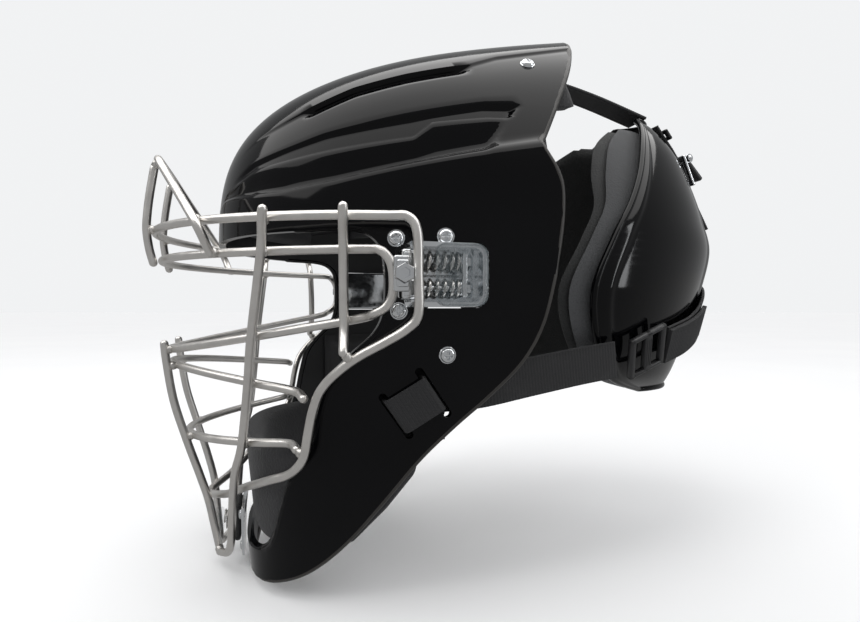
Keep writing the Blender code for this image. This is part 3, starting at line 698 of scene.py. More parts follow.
def relief(y, z):
    """How far the moulded crown stands off the plain skin at (y, z), in mm."""
    fade = smooth(-97, -92, y)
    if fade <= 0 or z <= TEMPLE_Z:
        return 0.0
    band, top = along(BAND_LINE, y), along(FACE_TOP, y)
    foot, ledge = along(FACE_FOOT, y), along(LEDGE, y)
    rise = ledge_rise(y)
    step = 0.5 * rise
    here = (1.0 - smooth(slant_end(z) - 2.4, slant_end(z) + 2.4, y)) * smooth(-88, -78, y)
    depth = 0.0
    if z < band:
        depth -= 1.0 * smooth(0, 1.5, band - z) * smooth(-86, -55, y)
    lip = 1 - smooth(ledge, ledge + rise, z)
    groove = smooth(-56, -50, y) * (1 - smooth(16, 26, y))
    depth -= 3.0 * groove * smooth(0, 1.0, band - z) * (1 - smooth(3.0, 4.4, band - z))
    if ledge < z < top + 3:
        sunk = smooth(top + 0.6, top - 1.8, z) * mix(1.2, 2.6, smooth(-80, 0, y))
        shelf = 1 - smooth(foot - 0.4, foot + 0.6, z)
        second = shelf * (1.6 - 2.2 * smooth(foot, ledge + rise, z))
        depth += here * (-sunk + second) * (1 - lip)
    return (depth + lip * step * (1 - smooth(ledge - 2, ledge - 34, z))) * fade


def shell_point(level, turn, depth=0.0):
    here = skin(level, turn)
    return here + skin_normal(level, turn) * (relief(here.y, here.z) - depth)


def edge_place(y, z, depth=0.0):
    return shell_point(*skin_at(y, z), depth)


ROWS_BETWEEN = (5, 6, 2, 2, 6, 3, 7, 4, 6, 3, 3, 3, 14)


def crown_levels(y):
    """Levels of one station's rows, so that rows run along the moulded lines."""
    ledge, foot, top = along(LEDGE, y), along(FACE_FOOT, y), along(FACE_TOP, y)
    band, rise = along(BAND_LINE, y), ledge_rise(y)
    foot = max(foot, ledge + rise + 1)
    marks = [TEMPLE_Z, ledge - 10, ledge, ledge + rise / 2, ledge + rise, foot - 0.5, foot + 0.7,
             max(top - 1.8, foot + 1.0), max(top + 0.6, foot + 1.4), band - 4.4, band - 3.0,
             band - 1.0, band]
    height = max(crown_z(y) - TEMPLE_Z, 1e-3)
    levels = []
    for k, z in enumerate(marks):
        level = math.asin(clip((z - TEMPLE_Z) / height)) / math.radians(90)
        level = min(level, 1 - 0.03 * (len(marks) - k))
        levels.append(max(level, levels[-1] + 0.006) if levels else 0.0)
    levels.append(1.0)
    rows = []
    for k, count in enumerate(ROWS_BETWEEN):
        rows += [mix(levels[k], levels[k + 1], i / count) for i in range(count)]
    return rows + [1.0]


def even_turns(spacing):
    """Turns about `spacing` mm apart round the plan at temple height."""
    fine = [t / 600 for t in range(1201)]
    reach = reach_along(np.array([plan_point(TEMPLE_Z, t) for t in fine]))
    at = np.linspace(0, reach[-1], int(reach[-1] / spacing))
    return [float(v) for v in np.interp(at, reach, fine)]


def prism(outline, low_x, high_x):
    count = len(outline)
    points = [(low_x, y, z) for y, z in outline] + [(high_x, y, z) for y, z in outline]
    faces = [(k, (k + 1) % count, (k + 1) % count + count, k + count) for k in range(count)]
    faces += [tuple(reversed(range(count))), tuple(range(count, 2 * count))]
    return part(points, faces)


def cutter(name, made):
    obj = mesh_object(name, made, [GLOSS])
    shape = bmesh.new()
    shape.from_mesh(obj.data)
    bmesh.ops.triangulate(shape, faces=shape.faces)
    shape.to_mesh(obj.data)
    shape.free()
    return obj


def slot_outline(start, end):
    run = Vector((end[0] - start[0], end[1] - start[1])).normalized() * SLOT_W / 2
    points = []
    for centre, facing in ((Vector(start), -1), (Vector(end), 1)):
        for k in range(7):
            angle = math.radians(-90 + 30 * k)
            side = Vector((-run.y, run.x)) * math.sin(angle) * facing
            points.append(tuple(centre + run * math.cos(angle) * facing + side))
    return points


def window_outline():
    gap = 0.5
    return round_corners(MODULE_FRONT_Y - gap, MODULE_LOW - gap, MODULE_REAR_Y + gap,
                         MODULE_HIGH + gap, 4.0)


def round_corners(y0, z0, y1, z1, radius, k=5):
    points = []
    for cy, cz, start in ((y1 - radius, z1 - radius, 0), (y0 + radius, z1 - radius, 90),
                          (y0 + radius, z0 + radius, 180), (y1 - radius, z0 + radius, 270)):
        for i in range(k + 1):
            angle = math.radians(start + 90 * i / k)
            points.append((cy + radius * math.cos(angle), cz + radius * math.sin(angle)))
    return points


def apply_modifiers(obj):
    bpy.context.view_layer.update()
    graph = bpy.context.evaluated_depsgraph_get()
    mesh = bpy.data.meshes.new_from_object(obj.evaluated_get(graph))
    obj.modifiers.clear()
    obj.data = mesh


def drop_slivers(obj, smooth_angle):
    shape = bmesh.new()
    shape.from_mesh(obj.data)
    bmesh.ops.dissolve_degenerate(shape, dist=2e-5, edges=shape.edges)
    shape.to_mesh(obj.data)
    shape.free()
    obj.data.shade_smooth()
    obj.data.set_sharp_from_angle(angle=math.radians(smooth_angle))


def rim_route(outline, back=0.0):
    """The route along one of the shell's cut outlines, `back` mm inside it, on the left."""
    left = []
    curve = edge_curve(outline, 5)
    for k, (y, z) in enumerate(curve):
        (y0, z0), (y1, z1) = curve[max(k - 1, 0)], curve[min(k + 1, len(curve) - 1)]
        away = Vector((z1 - z0, y0 - y1)).normalized()
        if away.dot(Vector((y - OPENING_MIDDLE[0], z - OPENING_MIDDLE[1]))) < 0:
            away.negate()
        y, z = y + away.x * back, z + away.y * back
        if z > RIM_LOWEST_Z and (z < TEMPLE_Z or z < crown_z(y) - 0.3):
            left.append(edge_place(y, z, SHELL_T / 2))
    return left


def shell():
    columns = []
    for turn in even_turns(TURN_SPACING):
        y = plan_point(TEMPLE_Z, turn)[1]
        levels = [mix(-1, 0, r / LOWER_ROWS) for r in range(LOWER_ROWS)] + crown_levels(y)
        columns.append([shell_point(level, turn) for level in levels])
    for p in [column[-1] for column in columns] + columns[0]:
        p.x = 0.0
    points = [p for column in columns for p in column]
    left = part(points, grid_faces(len(columns), len(columns[0]), flip=True))
    body = mesh_object("shell_skin", join(left, flipped(left)), [GLOSS, INNER])
    solid = body.modifiers.new("wall", "SOLIDIFY")
    solid.thickness = SHELL_T * MM
    solid.offset = -1.0
    solid.material_offset = 1
    ahead, above, wide = -160, 200, 140  # clear of the shell
    trim = edge_curve(SHELL_EDGE, 6) + [(ahead, -140), (ahead, above), (110, above)]
    face = [(ahead, 35)] + edge_curve(FACE_EDGE, 6) + [(ahead, -118)]
    tools = [prism(face, -wide, wide)]
    for ends in ((72, 125), (-125, -72)):
        tools.append(prism(window_outline(), *ends))
        tools += [prism(slot_outline(*slot), *ends) for slot in STRAP_SLOTS]
    trims = cutter("trim_tool", prism(trim, -wide, wide))
    holes = cutter("hole_tool", join(*tools))
    for tool, kind in ((trims, "INTERSECT"), (holes, "DIFFERENCE")):
        cut = body.modifiers.new(kind.lower(), "BOOLEAN")
        cut.operation = kind
        cut.object = tool
        cut.solver = "MANIFOLD"
    apply_modifiers(body)
    for tool in (trims, holes):
        bpy.data.objects.remove(tool, do_unlink=True)
    drop_slivers(body, 62)
    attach(body, "shell")
    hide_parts("outer_shell")


def on_skin(made, y, z, out, side):
    """A part built on Z = 0 placed on the shell's outside, facing out."""
    level, turn = skin_at(y, z)
    here, normal = shell_point(level, turn), skin_normal(level, turn)
    flat = Vector((0, 1, 0)) - normal * normal.y
    flat.normalize()
    placed = moved(made, here + normal * out, (flat, normal.cross(flat), normal))
    return placed if side > 0 else flipped(placed)


SCREWS = ((-19, 31), (2, 32), (-18, 0), (3, -19), (56, 127))


def shell_details():
    heads = [on_skin(screw(3.3), y, z, 0.2, side) for y, z in SCREWS for side in (1, -1)]
    piece("shell_screws", join(*heads), CHROME, "shell")
    top = Vector((0, REAR_RIM_TOP_Y, crown_z(REAR_RIM_TOP_Y) - SHELL_T / 2))
    rear = both_sides([top] + rim_route(SHELL_EDGE[2:]))
    piece("shell_rear_rim", tube(resampled(rear, RIM_STEP), RIM_R, RIM_SIDES), CUT_EDGE, "shell")
    face = rim_route(FACE_EDGE, FACE_RIM_BACK)
    for name, side in SIDES:
        path = resampled(on_side(face, side), RIM_STEP)
        piece(name + "_face_rim", tube(path, RIM_R, RIM_SIDES), GLOSS, "shell")


# ------------------------------------------------------------------ foam pads


def slab(points, rows, columns, weave=None):
    """Two grids of points, one after the other, closed into one body."""
    count = rows * columns
    near = grid_faces(rows, columns)
    faces = near + [tuple(i + count for i in reversed(f)) for f in near]
    border = list(range(columns)) + [r * columns + columns - 1 for r in range(1, rows)]
    border += [(rows - 1) * columns + c for c in range(columns - 2, -1, -1)]
    border += [r * columns for r in range(rows - 2, 0, -1)]
    faces += [(a, b, b + count, a + count) for a, b in zip(border, border[1:] + border[:1])]
    return part(points, faces, weave)


PAD_RIM, PAD_BACK_LIFT, PAD_CROWN = 0.22, 0.14, 0.18  # shares of a pad's depth


def bulge(share, edge):
    """0 at both ends of a pad and 1 inside its rounded border, `edge` wide."""
    return math.sqrt(clip(1 - (1 - min(share, 1 - share, edge) / edge) ** 2))


def pillow(outer, inward, depth, edge=0.16, gap=0.0):
    """A closed crowned pad: `outer` is its backed face and `inward` its unit normals."""
    rows, columns = len(outer), len(outer[0])
    points, weave = [], []
    for face in (0, 1):
        for r in range(rows):
            for c in range(columns):
                u, v = r / (rows - 1), c / (columns - 1)
                swell = bulge(u, edge) * bulge(v, edge)
                if face:
                    crown = math.sin(math.pi * u) * math.sin(math.pi * v)
                    put = gap + depth * mix(PAD_RIM, 1, swell) * (1 - PAD_CROWN + PAD_CROWN * crown)
                else:
                    put = gap + depth * PAD_BACK_LIFT * (1 - swell)
                points.append(outer[r][c] + inward[r][c] * put)
                weave.append((r, c))
    return slab(points, rows, columns, weave)


def lining_grid(places, depth):
    """Skin points and inward normals of a pad, from rows of (level, turn, side)."""
    outer, inward = [], []
    for row in places:
        points, normals = [], []
        for level, turn, side in row:
            normal = skin_normal(level, turn)
            here = skin(level, turn) - normal * depth
            if side < 0:
                here, normal = mirrored(here), mirrored(normal)
            points.append(here)
            normals.append(-normal)
        outer.append(points)
        inward.append(normals)
    return outer, inward


def slot_shade_blister(name, side):
    """A thin moulded dark blister inside the shell, behind the strap slots and open to the rear; it
    is a dark sheet standing in for the shade seen through the slots.
    """
    low, high, deep, thick = -59, -18, 8.6, 1.3

    def ends_y(z):
        return -33, mix(5.5, 14, (z - low) / (high - low))

    outer, inward = lining_grid(side_rows(spread(low, high, 22), ends_y, 26, side), SHELL_T + 0.5)
    rows, columns = len(outer), len(outer[0])
    points = []
    for wall in (0.0, thick):
        for r in range(rows):
            ends = smooth(0, 0.2, min(r, rows - 1 - r) / (rows - 1))
            for c in range(columns):
                put = deep * ends * smooth(0, 0.22, c / (columns - 1)) + wall
                points.append(outer[r][c] + inward[r][c] * put)
    piece(name + "_slot_shade_sheet", slab(points, rows, columns), RUBBER, "shell")


def stitches(path):
    """Short threads in a row along a path."""
    radius, pitch, length, step = 0.22, 2.4, 1.5, 0.6
    path = resampled(path, step)
    every, run = int(round(pitch / step)), int(round(length / step))
    return join(*[tube(path[start:start + run + 1], radius, 6)
                  for start in range(0, len(path) - run - 1, every)])


def pad(name, places, depth):
    outer, inward = lining_grid(places, SHELL_T + LINING_GAP)
    obj = piece(name + "_cover", pillow(outer, inward, depth), DARK_FOAM, "shell", name)
    return obj


def side_rows(z_values, y_ends, columns, side):
    """Rows of (level, turn, side) between the two y that y_ends gives for each height."""
    rows = []
    for z in z_values:
        stations = spread(*y_ends(z), columns)
        rows.append([(skin_at(y, z)[0], turn_at(y, min(z, TEMPLE_Z)), side) for y in stations])
    return rows


def across_middle(half):
    """A row of (level, turn, side) over both sides, from the left half's (level, turn)."""
    return [(*place, -1) for place in reversed(half[1:])] + [(*place, 1) for place in half]


JAW_REAR = ((-112, -41), (-110, -34), (-93, -19), (-76, -7), (-64, -5), (-60, -20))


def front_turn(z):
    """The turn at which the crown's centre line stands at height z."""
    return bisect(0.0, 1.2, lambda turn: crown_z(plan_point(TEMPLE_Z, turn)[1]) < z)[1]


def pads():
    rows = []
    for z in spread(47, 87, 18):
        first, last = front_turn(z), turn_at(-45, TEMPLE_Z)
        turns = [mix(first, last, (k / 25) ** 1.4) for k in range(26)]
        rows.append(across_middle([(skin_at(plan_point(TEMPLE_Z, t)[1], z)[0], t) for t in turns]))
    pad("brow_pad", rows, 11.0)
    levels = spread(1.0, 0.66, 18)
    pad("crown_pad", [across_middle([(level, turn) for level in levels])
                      for turn in spread(0.62, 1.5, 30)], 12.0)
    rows = []
    for z in spread(-112, -64, 18):
        turns = spread(0.0, turn_at(-44, z), 26)
        rows.append(across_middle([(level_of(z), turn) for turn in turns]))
    chin = pad("chin_pad", rows, 11.0)
    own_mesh(chin)
    for name, side in SIDES:
        for kind, levels, turns, depth in (
            ("_temple_pad", spread(0.2, 0.5, 18), spread(0.8, 1.3, 24), 10.0),
            ("_rear_pad", spread(0.42, 0.62, 16), spread(1.3, 1.52, 18), 9.0),
        ):
            pad(name + kind, [[(level, turn, side) for turn in turns] for level in levels], depth)
        rows = side_rows(spread(-111, -61, 26), lambda z: (-40.5, along(JAW_REAR, z)), 16, side)
        pad(name + "_jaw_pad", rows, 9.0)
        # A dark sheet behind the strap slots stands in for the shade seen through them.
        slot_shade_blister(name, side)


# ------------------------------------------------------------------ cage wires

TOP_BAR = (108.0, -15.0, -128.0, 1.38, 38.3, 40.5)
EYE_TOP = (98.0, -20.0, -125.0, 1.2, 26.0, 26.0)
EYE_BOTTOM = (98.0, -20.0, -121.5, 1.0, -0.5, -20.0)
CHEEK_BAR = (100.0, -30.0, -120.0, 0.68, -40.0, -26.5)
JAW_BAR = (92.0, -35.0, -112.0, 0.78, -57.5, -63.5)


def bar_point(bar, y):
    half, back, front, power, back_z, front_z = bar
    run = clip((back - y) / (back - front))
    return Vector((half * math.sqrt(1.0 - run ** power), y, mix(back_z, front_z, run)))


def over_bar(bar, y, step=WELD_STEP):
    run = bar_point(bar, y + 0.5) - bar_point(bar, y - 0.5)
    out = Vector((run.y, -run.x, 0.0)).normalized()
    return bar_point(bar, y) + out * step


def bar_side(bar, last_y, count):
    front = bar[2]
    return [bar_point(bar, mix(front, last_y, (k / (count - 1)) ** 2)) for k in range(count)]


FRAME_CORNER = [(108.5, -17, 38), (110, -13.5, 32)]
FRAME_SIDE = [
    (110, -13, 15), (110, -13, -1), (108, -17, -7), (104, -26, -13), (99, -35, -18.5),
    (94, -43, -25), (88.5, -49.5, -33), (85.5, -52.7, -42), (84, -54.6, -52), (82.5, -56.2, -62),
    (79.2, -59.2, -68), (73.3, -63.4, -72.5),
]
FRAME_FRONT = [(66, -70, -76), (52, -76, -81.5), (40, -81, -86), (32, -84.5, -89.5),
               (20, -92, -95), (0, -102, -99)]


WELD_REACH, WELD_PITCH = 5.4, 9  # wires nearer than the reach are welded, no closer than the pitch


def ring(path, closed):
    """The path with its first point again at its end if it is closed."""
    return path + path[:1] if closed else path


def cage_routes():
    """Every wire of the cage as name: (path, closed)."""
    routes = {}

    def loop(name, left, steps):
        whole = left + [mirrored(p) for p in reversed(left[1:-1])]
        routes[name] = (smooth_path(whole, steps, closed=True), True)

    loop("cage_outer_frame",
         bar_side(TOP_BAR, -24.0, 9)
         + [Vector(p) for p in FRAME_CORNER + FRAME_SIDE + FRAME_FRONT], 6)
    corner = [(99, -26, 25), (101, -22, 19), (101, -21.4, 8), (100, -24, 2), (98, -28.5, -1)]
    loop("cage_eye_loop",
         bar_side(EYE_TOP, -32.0, 8) + [Vector(p) for p in corner]
         + list(reversed(bar_side(EYE_BOTTOM, -34.0, 8))), 6)
    for name, bar, last_y, end in (
        ("cage_cheek_bar", CHEEK_BAR, -60.0, (82.6, -56.5, -37.5)),
        ("cage_jaw_bar", JAW_BAR, -62.0, (78.6, -59.2, -60.0)),
    ):
        left = bar_side(bar, last_y, 8) + [Vector(end)]
        routes[name] = (smooth_path(both_sides(left), 6), False)
    peak = [(0, -124.5, 77), (16, -124.5, 77), (24.5, -123, 74.5), (33, -118.5, 67),
            over_bar(TOP_BAR, -99), over_bar(EYE_TOP, -93)]
    routes["cage_peak_loop"] = (smooth_path(both_sides(peak), 8), False)
    sides = {
        "cage_long_upright": [
            (94, -73.1, 40.6), (91.6, -73.4, 38.4),
            over_bar(EYE_TOP, -71.5, 4.6), over_bar(EYE_BOTTOM, -75.5, 4.6),
            over_bar(CHEEK_BAR, -77, 4.6), over_bar(JAW_BAR, -79.5, 4.6), (47, -86, -76),
            (39.6, -87.4, -88), (33, -88.2, -99), (28, -88.8, -110), (23.5, -89.6, -120),
            (16, -91.6, -127), (8, -96, -129.5)],
        "cage_short_upright": [
            (107, -42.8, 41), (106, -42.8, 38.6),
            over_bar(EYE_TOP, -39.5), over_bar(EYE_BOTTOM, -38.5), (98.2, -41.5, -17)],
        "cage_chin_upright": [
            (22, -121, -16.5), (22, -120.2, -24), (22, -116.8, -44.5), (21.5, -110.8, -65),
            (19.5, -104.8, -84), (16.5, -101, -98), (10.5, -98.8, -113), (4.6, -96.8, -127.5)],
        "cage_nose_upright": [
            (22, -125.6, 71), (22, -127.6, 58), (22, -128.7, 48), (22, -129, 40),
            (22, -127.8, 31), (22, -126, 24)],
    }
    for name, route in sides.items():
        path = smooth_path(route, 6)
        routes["left_" + name] = (path, False)
        routes["right_" + name] = ([mirrored(p) for p in path], False)
    return routes


def bead(centre, axis, reach, seed):
    """A small uneven weld bead round the line between two touching wires."""
    axis = axis.normalized()
    side = axis.orthogonal().normalized()
    up = axis.cross(side)
    points, rings, sides = [], 7, 12
    for r in range(rings):
        tilt = math.radians(-90 + 180 * r / (rings - 1))
        for k, turn in enumerate(ring_angles(sides)):
            out = side * math.cos(turn) * math.cos(tilt) + up * math.sin(turn) * math.cos(tilt)
            rough = 1 + 0.14 * noise.noise(Vector((k * 0.7, r * 0.9, seed * 3.1)))
            points.append(centre + (out * 2.25 + axis * math.sin(tilt) * reach) * rough)
    return part(points, grid_faces(rings, sides, wrap=True))


def weld_places(routes):
    """Where two wires run closest to each other, within a weld's reach."""
    names = sorted(routes)
    dense = {name: np.array([tuple(p) for p in resampled(ring(*routes[name]), 0.8)])
             for name in names}
    found = []
    for a, b in itertools.combinations(names, 2):
        gaps = np.linalg.norm(dense[a][:, None] - dense[b][None], axis=2)
        near = np.argwhere(gaps < WELD_REACH)
        taken = []
        for k in np.argsort(gaps[near[:, 0], near[:, 1]]):
            p, q = dense[a][near[k][0]], dense[b][near[k][1]]
            middle = (p + q) / 2
            if all(np.linalg.norm(middle - other) > WELD_PITCH for other in taken):
                taken.append(middle)
                found.append((Vector(middle), Vector(q - p)))
    return found


def cage():
    routes = cage_routes()
    for name, (path, closed) in routes.items():
        points = resampled(ring(path, closed), 1.6)
        wire = tube(points[:-1] if closed else points, WIRE_D / 2, 16, closed)
        piece(name + "_wire", wire, WIRE, "cage", name, 60)
    beads = [bead(middle, gap, 2.6, k) for k, (middle, gap) in enumerate(weld_places(routes))]
    piece("cage_weld_beads", join(*beads), WELD, "cage", smooth_angle=80)


# ------------------------------------------------------------------ suspension modules


def coil(start, end, outer_d, wire_d, turns, closed_turns=1.0, a_turn=22):
    """A compression spring along Y whose end turns lie closed."""
    radius = (outer_d - wire_d) / 2
    start, run = Vector(start), Vector(end) - Vector(start)
    total = turns + 2 * closed_turns
    steps = int(total * a_turn)
    flat = closed_turns * wire_d
    marks = (0, closed_turns, closed_turns + turns, total)
    reaches = (0, flat, run.length - flat, run.length)
    points = []
    for k in range(steps + 1):
        turn = total * k / steps
        angle = 2 * math.pi * turn
        centre = start + run.normalized() * float(np.interp(turn, marks, reaches))
        points.append(centre + Vector((math.cos(angle), 0.0, math.sin(angle))) * radius)
    return tube(points, wire_d / 2, 9)


def hex_bolt(radius, height):
    return lathe([(0.0, 0.0), (radius, 0.0), (radius, height - 0.7), (radius * 0.86, height),
                  (radius * 0.5, height), (radius * 0.45, height - 0.8), (0.0, height - 0.8)],
                 24, hexagon)


SPRING_REAR_Y = 7.5


def tray():
    """The left module's housing: a curved wall open to the front, a floor and three ribs."""
    front, rear = MODULE_FRONT_Y + 4.3, MODULE_REAR_Y
    corners = round_corners(front, MODULE_LOW + 1, rear - 1, MODULE_HIGH - 1, 5.0, 6)
    rim = [(front, MODULE_HIGH - 1)] + corners[6::-1] + corners[:-8:-1] + [(front, MODULE_LOW + 1)]
    section = [(-1.0, -6.9), (1.0, -6.9), (1.0, 6.6), (0.7, 6.9), (-0.7, 6.9), (-1.0, 6.6)]
    wall = sweep(resampled([Vector((98.9, y, z)) for y, z in rim], 1.0), section)
    floor = rounded_box((91.6, front, MODULE_LOW + 0.4), (93.4, rear - 0.6, MODULE_HIGH - 0.4), 0.6)
    ribs = [rounded_box((93.2, front + 2, z - 0.5), (94.3, rear - 3, z + 0.5), 0.45)
            for z in (MODULE_Z - 9, MODULE_Z, MODULE_Z + 9)]
    return [wall, floor, *ribs]


def module(name, side):
    """One temple's suspension module: housing, rods, carriage, clamp, springs and clear cover."""
    def put(suffix, parts, look, body, node, angle=40):
        made = join(*parts)
        piece(name + suffix, made if side > 0 else flipped(made), look, body, name + node, angle)

    put("_module_tray", tray(), CHROME, "shell", "_spring_housing")
    springs_z = [MODULE_Z + up * ROD_PITCH / 2 for up in (1, -1)]
    rods = [rounded_box((MODULE_X - 4.4, 8.1, MODULE_Z - 9.4),
                        (MODULE_X + 4.4, 10.5, MODULE_Z + 9.4), 0.7)]
    collars = []
    for z in springs_z:
        stations = np.linspace(MODULE_FRONT_Y + 5, 11.6, 12)
        rods.append(tube([(MODULE_X, y, z) for y in stations], 1.55, 16))
        for y0, length, radius, shape in ((10.6, 2.0, 3.0, hexagon), (7.55, 0.5, 4.2, None)):
            profile = [(0, 0), (radius, 0), (radius, length * 0.7), (radius * 0.9, length),
                       (0, length)]
            collars.append(moved(lathe(profile, 24, shape), (MODULE_X, y0, z), Y_UP))
    put("_guide_rods", rods + collars, CHROME, "shell", "_spring_guide")
    block = [rounded_box((MODULE_X - 5.1, MODULE_FRONT_Y + 0.4, MODULE_Z - 10.5),
                         (MODULE_X + 5.3, -12.1, MODULE_Z + 10.5), 1.4)]
    for z in springs_z:
        bush = lathe([(2.1, 0), (3.4, 0), (3.4, 0.5), (3.1, 0.75), (2.1, 0.75)], 24)
        block.append(moved(bush, (MODULE_X, -12.2, z), Y_UP))
        block.append(rounded_box((MODULE_X + 4.6, -17.6, z - 3.4),
                                 (MODULE_X + 5.6, -12.8, z + 3.4), 0.5))
    put("_carriage_block", block, CHROME, "cage", "_carriage")
    face = MODULE_X + 5.9
    saddle = [rounded_box((face, -22.5, MODULE_Z - 7.4), (face + 2.6, -15.6, MODULE_Z + 7.4), 1.0),
              rounded_box((face + 1.8, -21.6, MODULE_Z - 5.6),
                          (face + 4.0, -16.4, MODULE_Z + 5.6), 0.9)]
    put("_wire_saddle", saddle, CHROME, "cage", "_cage_clamp")
    nut = moved(hex_bolt(3.8, 3.1), (face + 4.3, -19.0, MODULE_Z), OUT_X)
    put("_saddle_nut", [nut], CHROME, "cage", "_clamp_nut")
    for level, z in zip(("upper", "lower"), springs_z):
        x = side * MODULE_X
        wound = coil((x, -11.1, z), (x, SPRING_REAR_Y, z), 9.0, 1.5, 4.6)
        spring = piece(f"{name}_{level}_coil", wound, STEEL, "shell", f"{name}_{level}_spring", 60)
        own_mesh(spring)
    rear = MODULE_REAR_Y
    rim = round_corners(-4.4, MODULE_LOW + 0.7, rear - 0.4, MODULE_HIGH - 0.7, 4.5, 6)
    plate = round_corners(-4.6, MODULE_LOW + 0.4, rear - 0.1, MODULE_HIGH - 0.4, 4.8, 6)
    lip = tube([Vector((107.1, y, z)) for y, z in rim], 0.55, 10, closed=True)
    put("_clear_cover", [prism(plate, 106.35, 107.35), lip], CLEAR, "shell", "_spring_cover", 30)


CHIN_AXIS_Z, CHIN_SPRING_REAR_Y = -115.0, -89.4


def chin_unit():
    outline = [(-19, -104), (19, -104), (19, -112), (13, -128), (6, -134), (-6, -134), (-13, -128),
               (-19, -112)]
    plate = moved(prism(outline, -84.7, -83.4), axes=(Y, X, Z))
    heads = [moved(screw(2.6, 1.5), (x, -84.8, z), FACING_FRONT)
             for x, z in ((-15, -108), (15, -108), (0, -130.5))]
    flange = rounded_box((-16, -84.2, -107.5), (16, -82.5, -104.2), 0.7)
    piece("chin_bracket_plate", join(plate, flange, *heads), CHROME, "shell", "chin_bracket")
    collar = lathe([(3.4, 0), (6.6, 0), (6.9, 0.6), (6.2, 1.0), (3.4, 1.0)], 32)
    rubber = [rounded_box((-10.8, -88.6, -124), (10.8, -85.3, -104.2), 1.5, 4),
              moved(collar, (0, -88.5, CHIN_AXIS_Z), FACING_FRONT)]
    rubber += [rounded_box((-9.5, -88.7, z - 0.5), (9.5, -88.2, z + 0.5), 0.24)
               for z in (-106.5, -121.5)]
    piece("chin_bumper_block", join(*rubber), RUBBER, "shell", "chin_bumper")
    cap = lathe([(0, 0), (6.3, 0), (6.5, 0.4), (6.5, 4.0), (6.0, 4.5), (4.4, 4.5), (4.2, 3.8),
                 (0, 3.8)], 36)
    rod = lathe([(0, 0), (2.5, 0), (2.5, -2.5), (2.1, -3.0), (0, -3.0)], 24)
    piece("chin_plunger_cap", moved(join(cap, rod), (0, -94.7, CHIN_AXIS_Z), FACING_FRONT), CLEAR,
          "cage", "chin_plunger")
    ends = (0, -93.9, CHIN_AXIS_Z), (0, CHIN_SPRING_REAR_Y, CHIN_AXIS_Z)
    spring = piece("chin_coil", coil(*ends, 10.6, 0.8, 2.2, 0.6), STEEL, "shell", "chin_spring", 60)
    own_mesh(spring)


# ------------------------------------------------------------------ back plate

PLATE_ROWS = (
    (-50, 30, 191, 152), (-38, 58, 195, 113), (-18, 76, 202, 93), (10, 85, 212, 85),
    (38, 80, 221, 100), (58, 72, 216, 116), (79, 60, 209, 131), (101, 44, 200, 145),
    (118, 27, 187, 157), (128, 12, 179, 164),
)
PLATE_RIDGE, FOAM_RIDGE, FOAM_INSET = 1.2, 1.15, 8.0
FOAM_EDGE = (145, 104, 80, 70, 86, 99, 105, 118, 140, 154)


def plate_row(share, foam=0.0):
    """The plate's (z, half width, centre y, edge y) at a share of its height."""
    rows = [(z, half - FOAM_INSET * foam, centre - FOAM_INSET * 1.6 * foam,
             mix(edge, foam_edge, foam))
            for (z, half, centre, edge), foam_edge in zip(PLATE_ROWS, FOAM_EDGE)]
    last = len(rows) - 1
    place = share * last
    first = min(max(int(place), 0), last - 1)
    ring = [rows[min(max(first + k, 0), last)] for k in (-1, 0, 1, 2)]
    return [spline(*values, place - first) for values in zip(*ring)]


def plate_point(share, turn, foam=0.0):
    z, half, centre, edge = plate_row(share, foam)
    angle = math.radians(90) * turn
    ridge = mix(PLATE_RIDGE, FOAM_RIDGE, foam)
    return Vector((half * math.sin(angle) ** ridge,
                   edge + (centre - edge) * max(math.cos(angle), 0.0) ** ridge, z))


def plate_share(z):
    for k in range(len(PLATE_ROWS) - 1):
        low, high = PLATE_ROWS[k][0], PLATE_ROWS[k + 1][0]
        if z <= high:
            return (k + (z - low) / (high - low)) / (len(PLATE_ROWS) - 1)
    return 1.0


def plate_normal(share, turn, foam=0.0):
    step = 0.01
    a = (plate_point(share, min(turn + step, 1), foam)
         - plate_point(share, max(turn - step, 0.0), foam))
    b = (plate_point(min(share + step, 1), turn, foam)
         - plate_point(max(share - step, 0), turn, foam))
    out = b.cross(X if turn < 0.02 else a).normalized()
    return out if out.dot(X if turn > 0.5 else Y) > 0 else -out


def plate_relief(share, turn):
    """The plate's moulded spine and border, in mm off the plain face."""
    z = plate_row(share)[0]
    tall = smooth(-30, -16, z) * (1 - smooth(104, 116, z))
    spine = 1 - smooth(0.30, 0.36, turn)
    border = smooth(0.9, 0.93, turn)
    return 1.3 * spine * tall + 0.9 * border - 0.9


def plate_turns():
    marks = (0.0, 0.10, 0.29, 0.31, 0.335, 0.36, 0.38, 0.60, 0.88, 0.9, 0.915, 0.93, 0.95, 1.0)
    counts = (4, 8, 2, 2, 2, 2, 8, 10, 2, 2, 2, 2, 4)
    turns = []
    for k, count in enumerate(counts):
        turns += [mix(marks[k], marks[k + 1], i / count) for i in range(count)]
    return turns + [1.0]


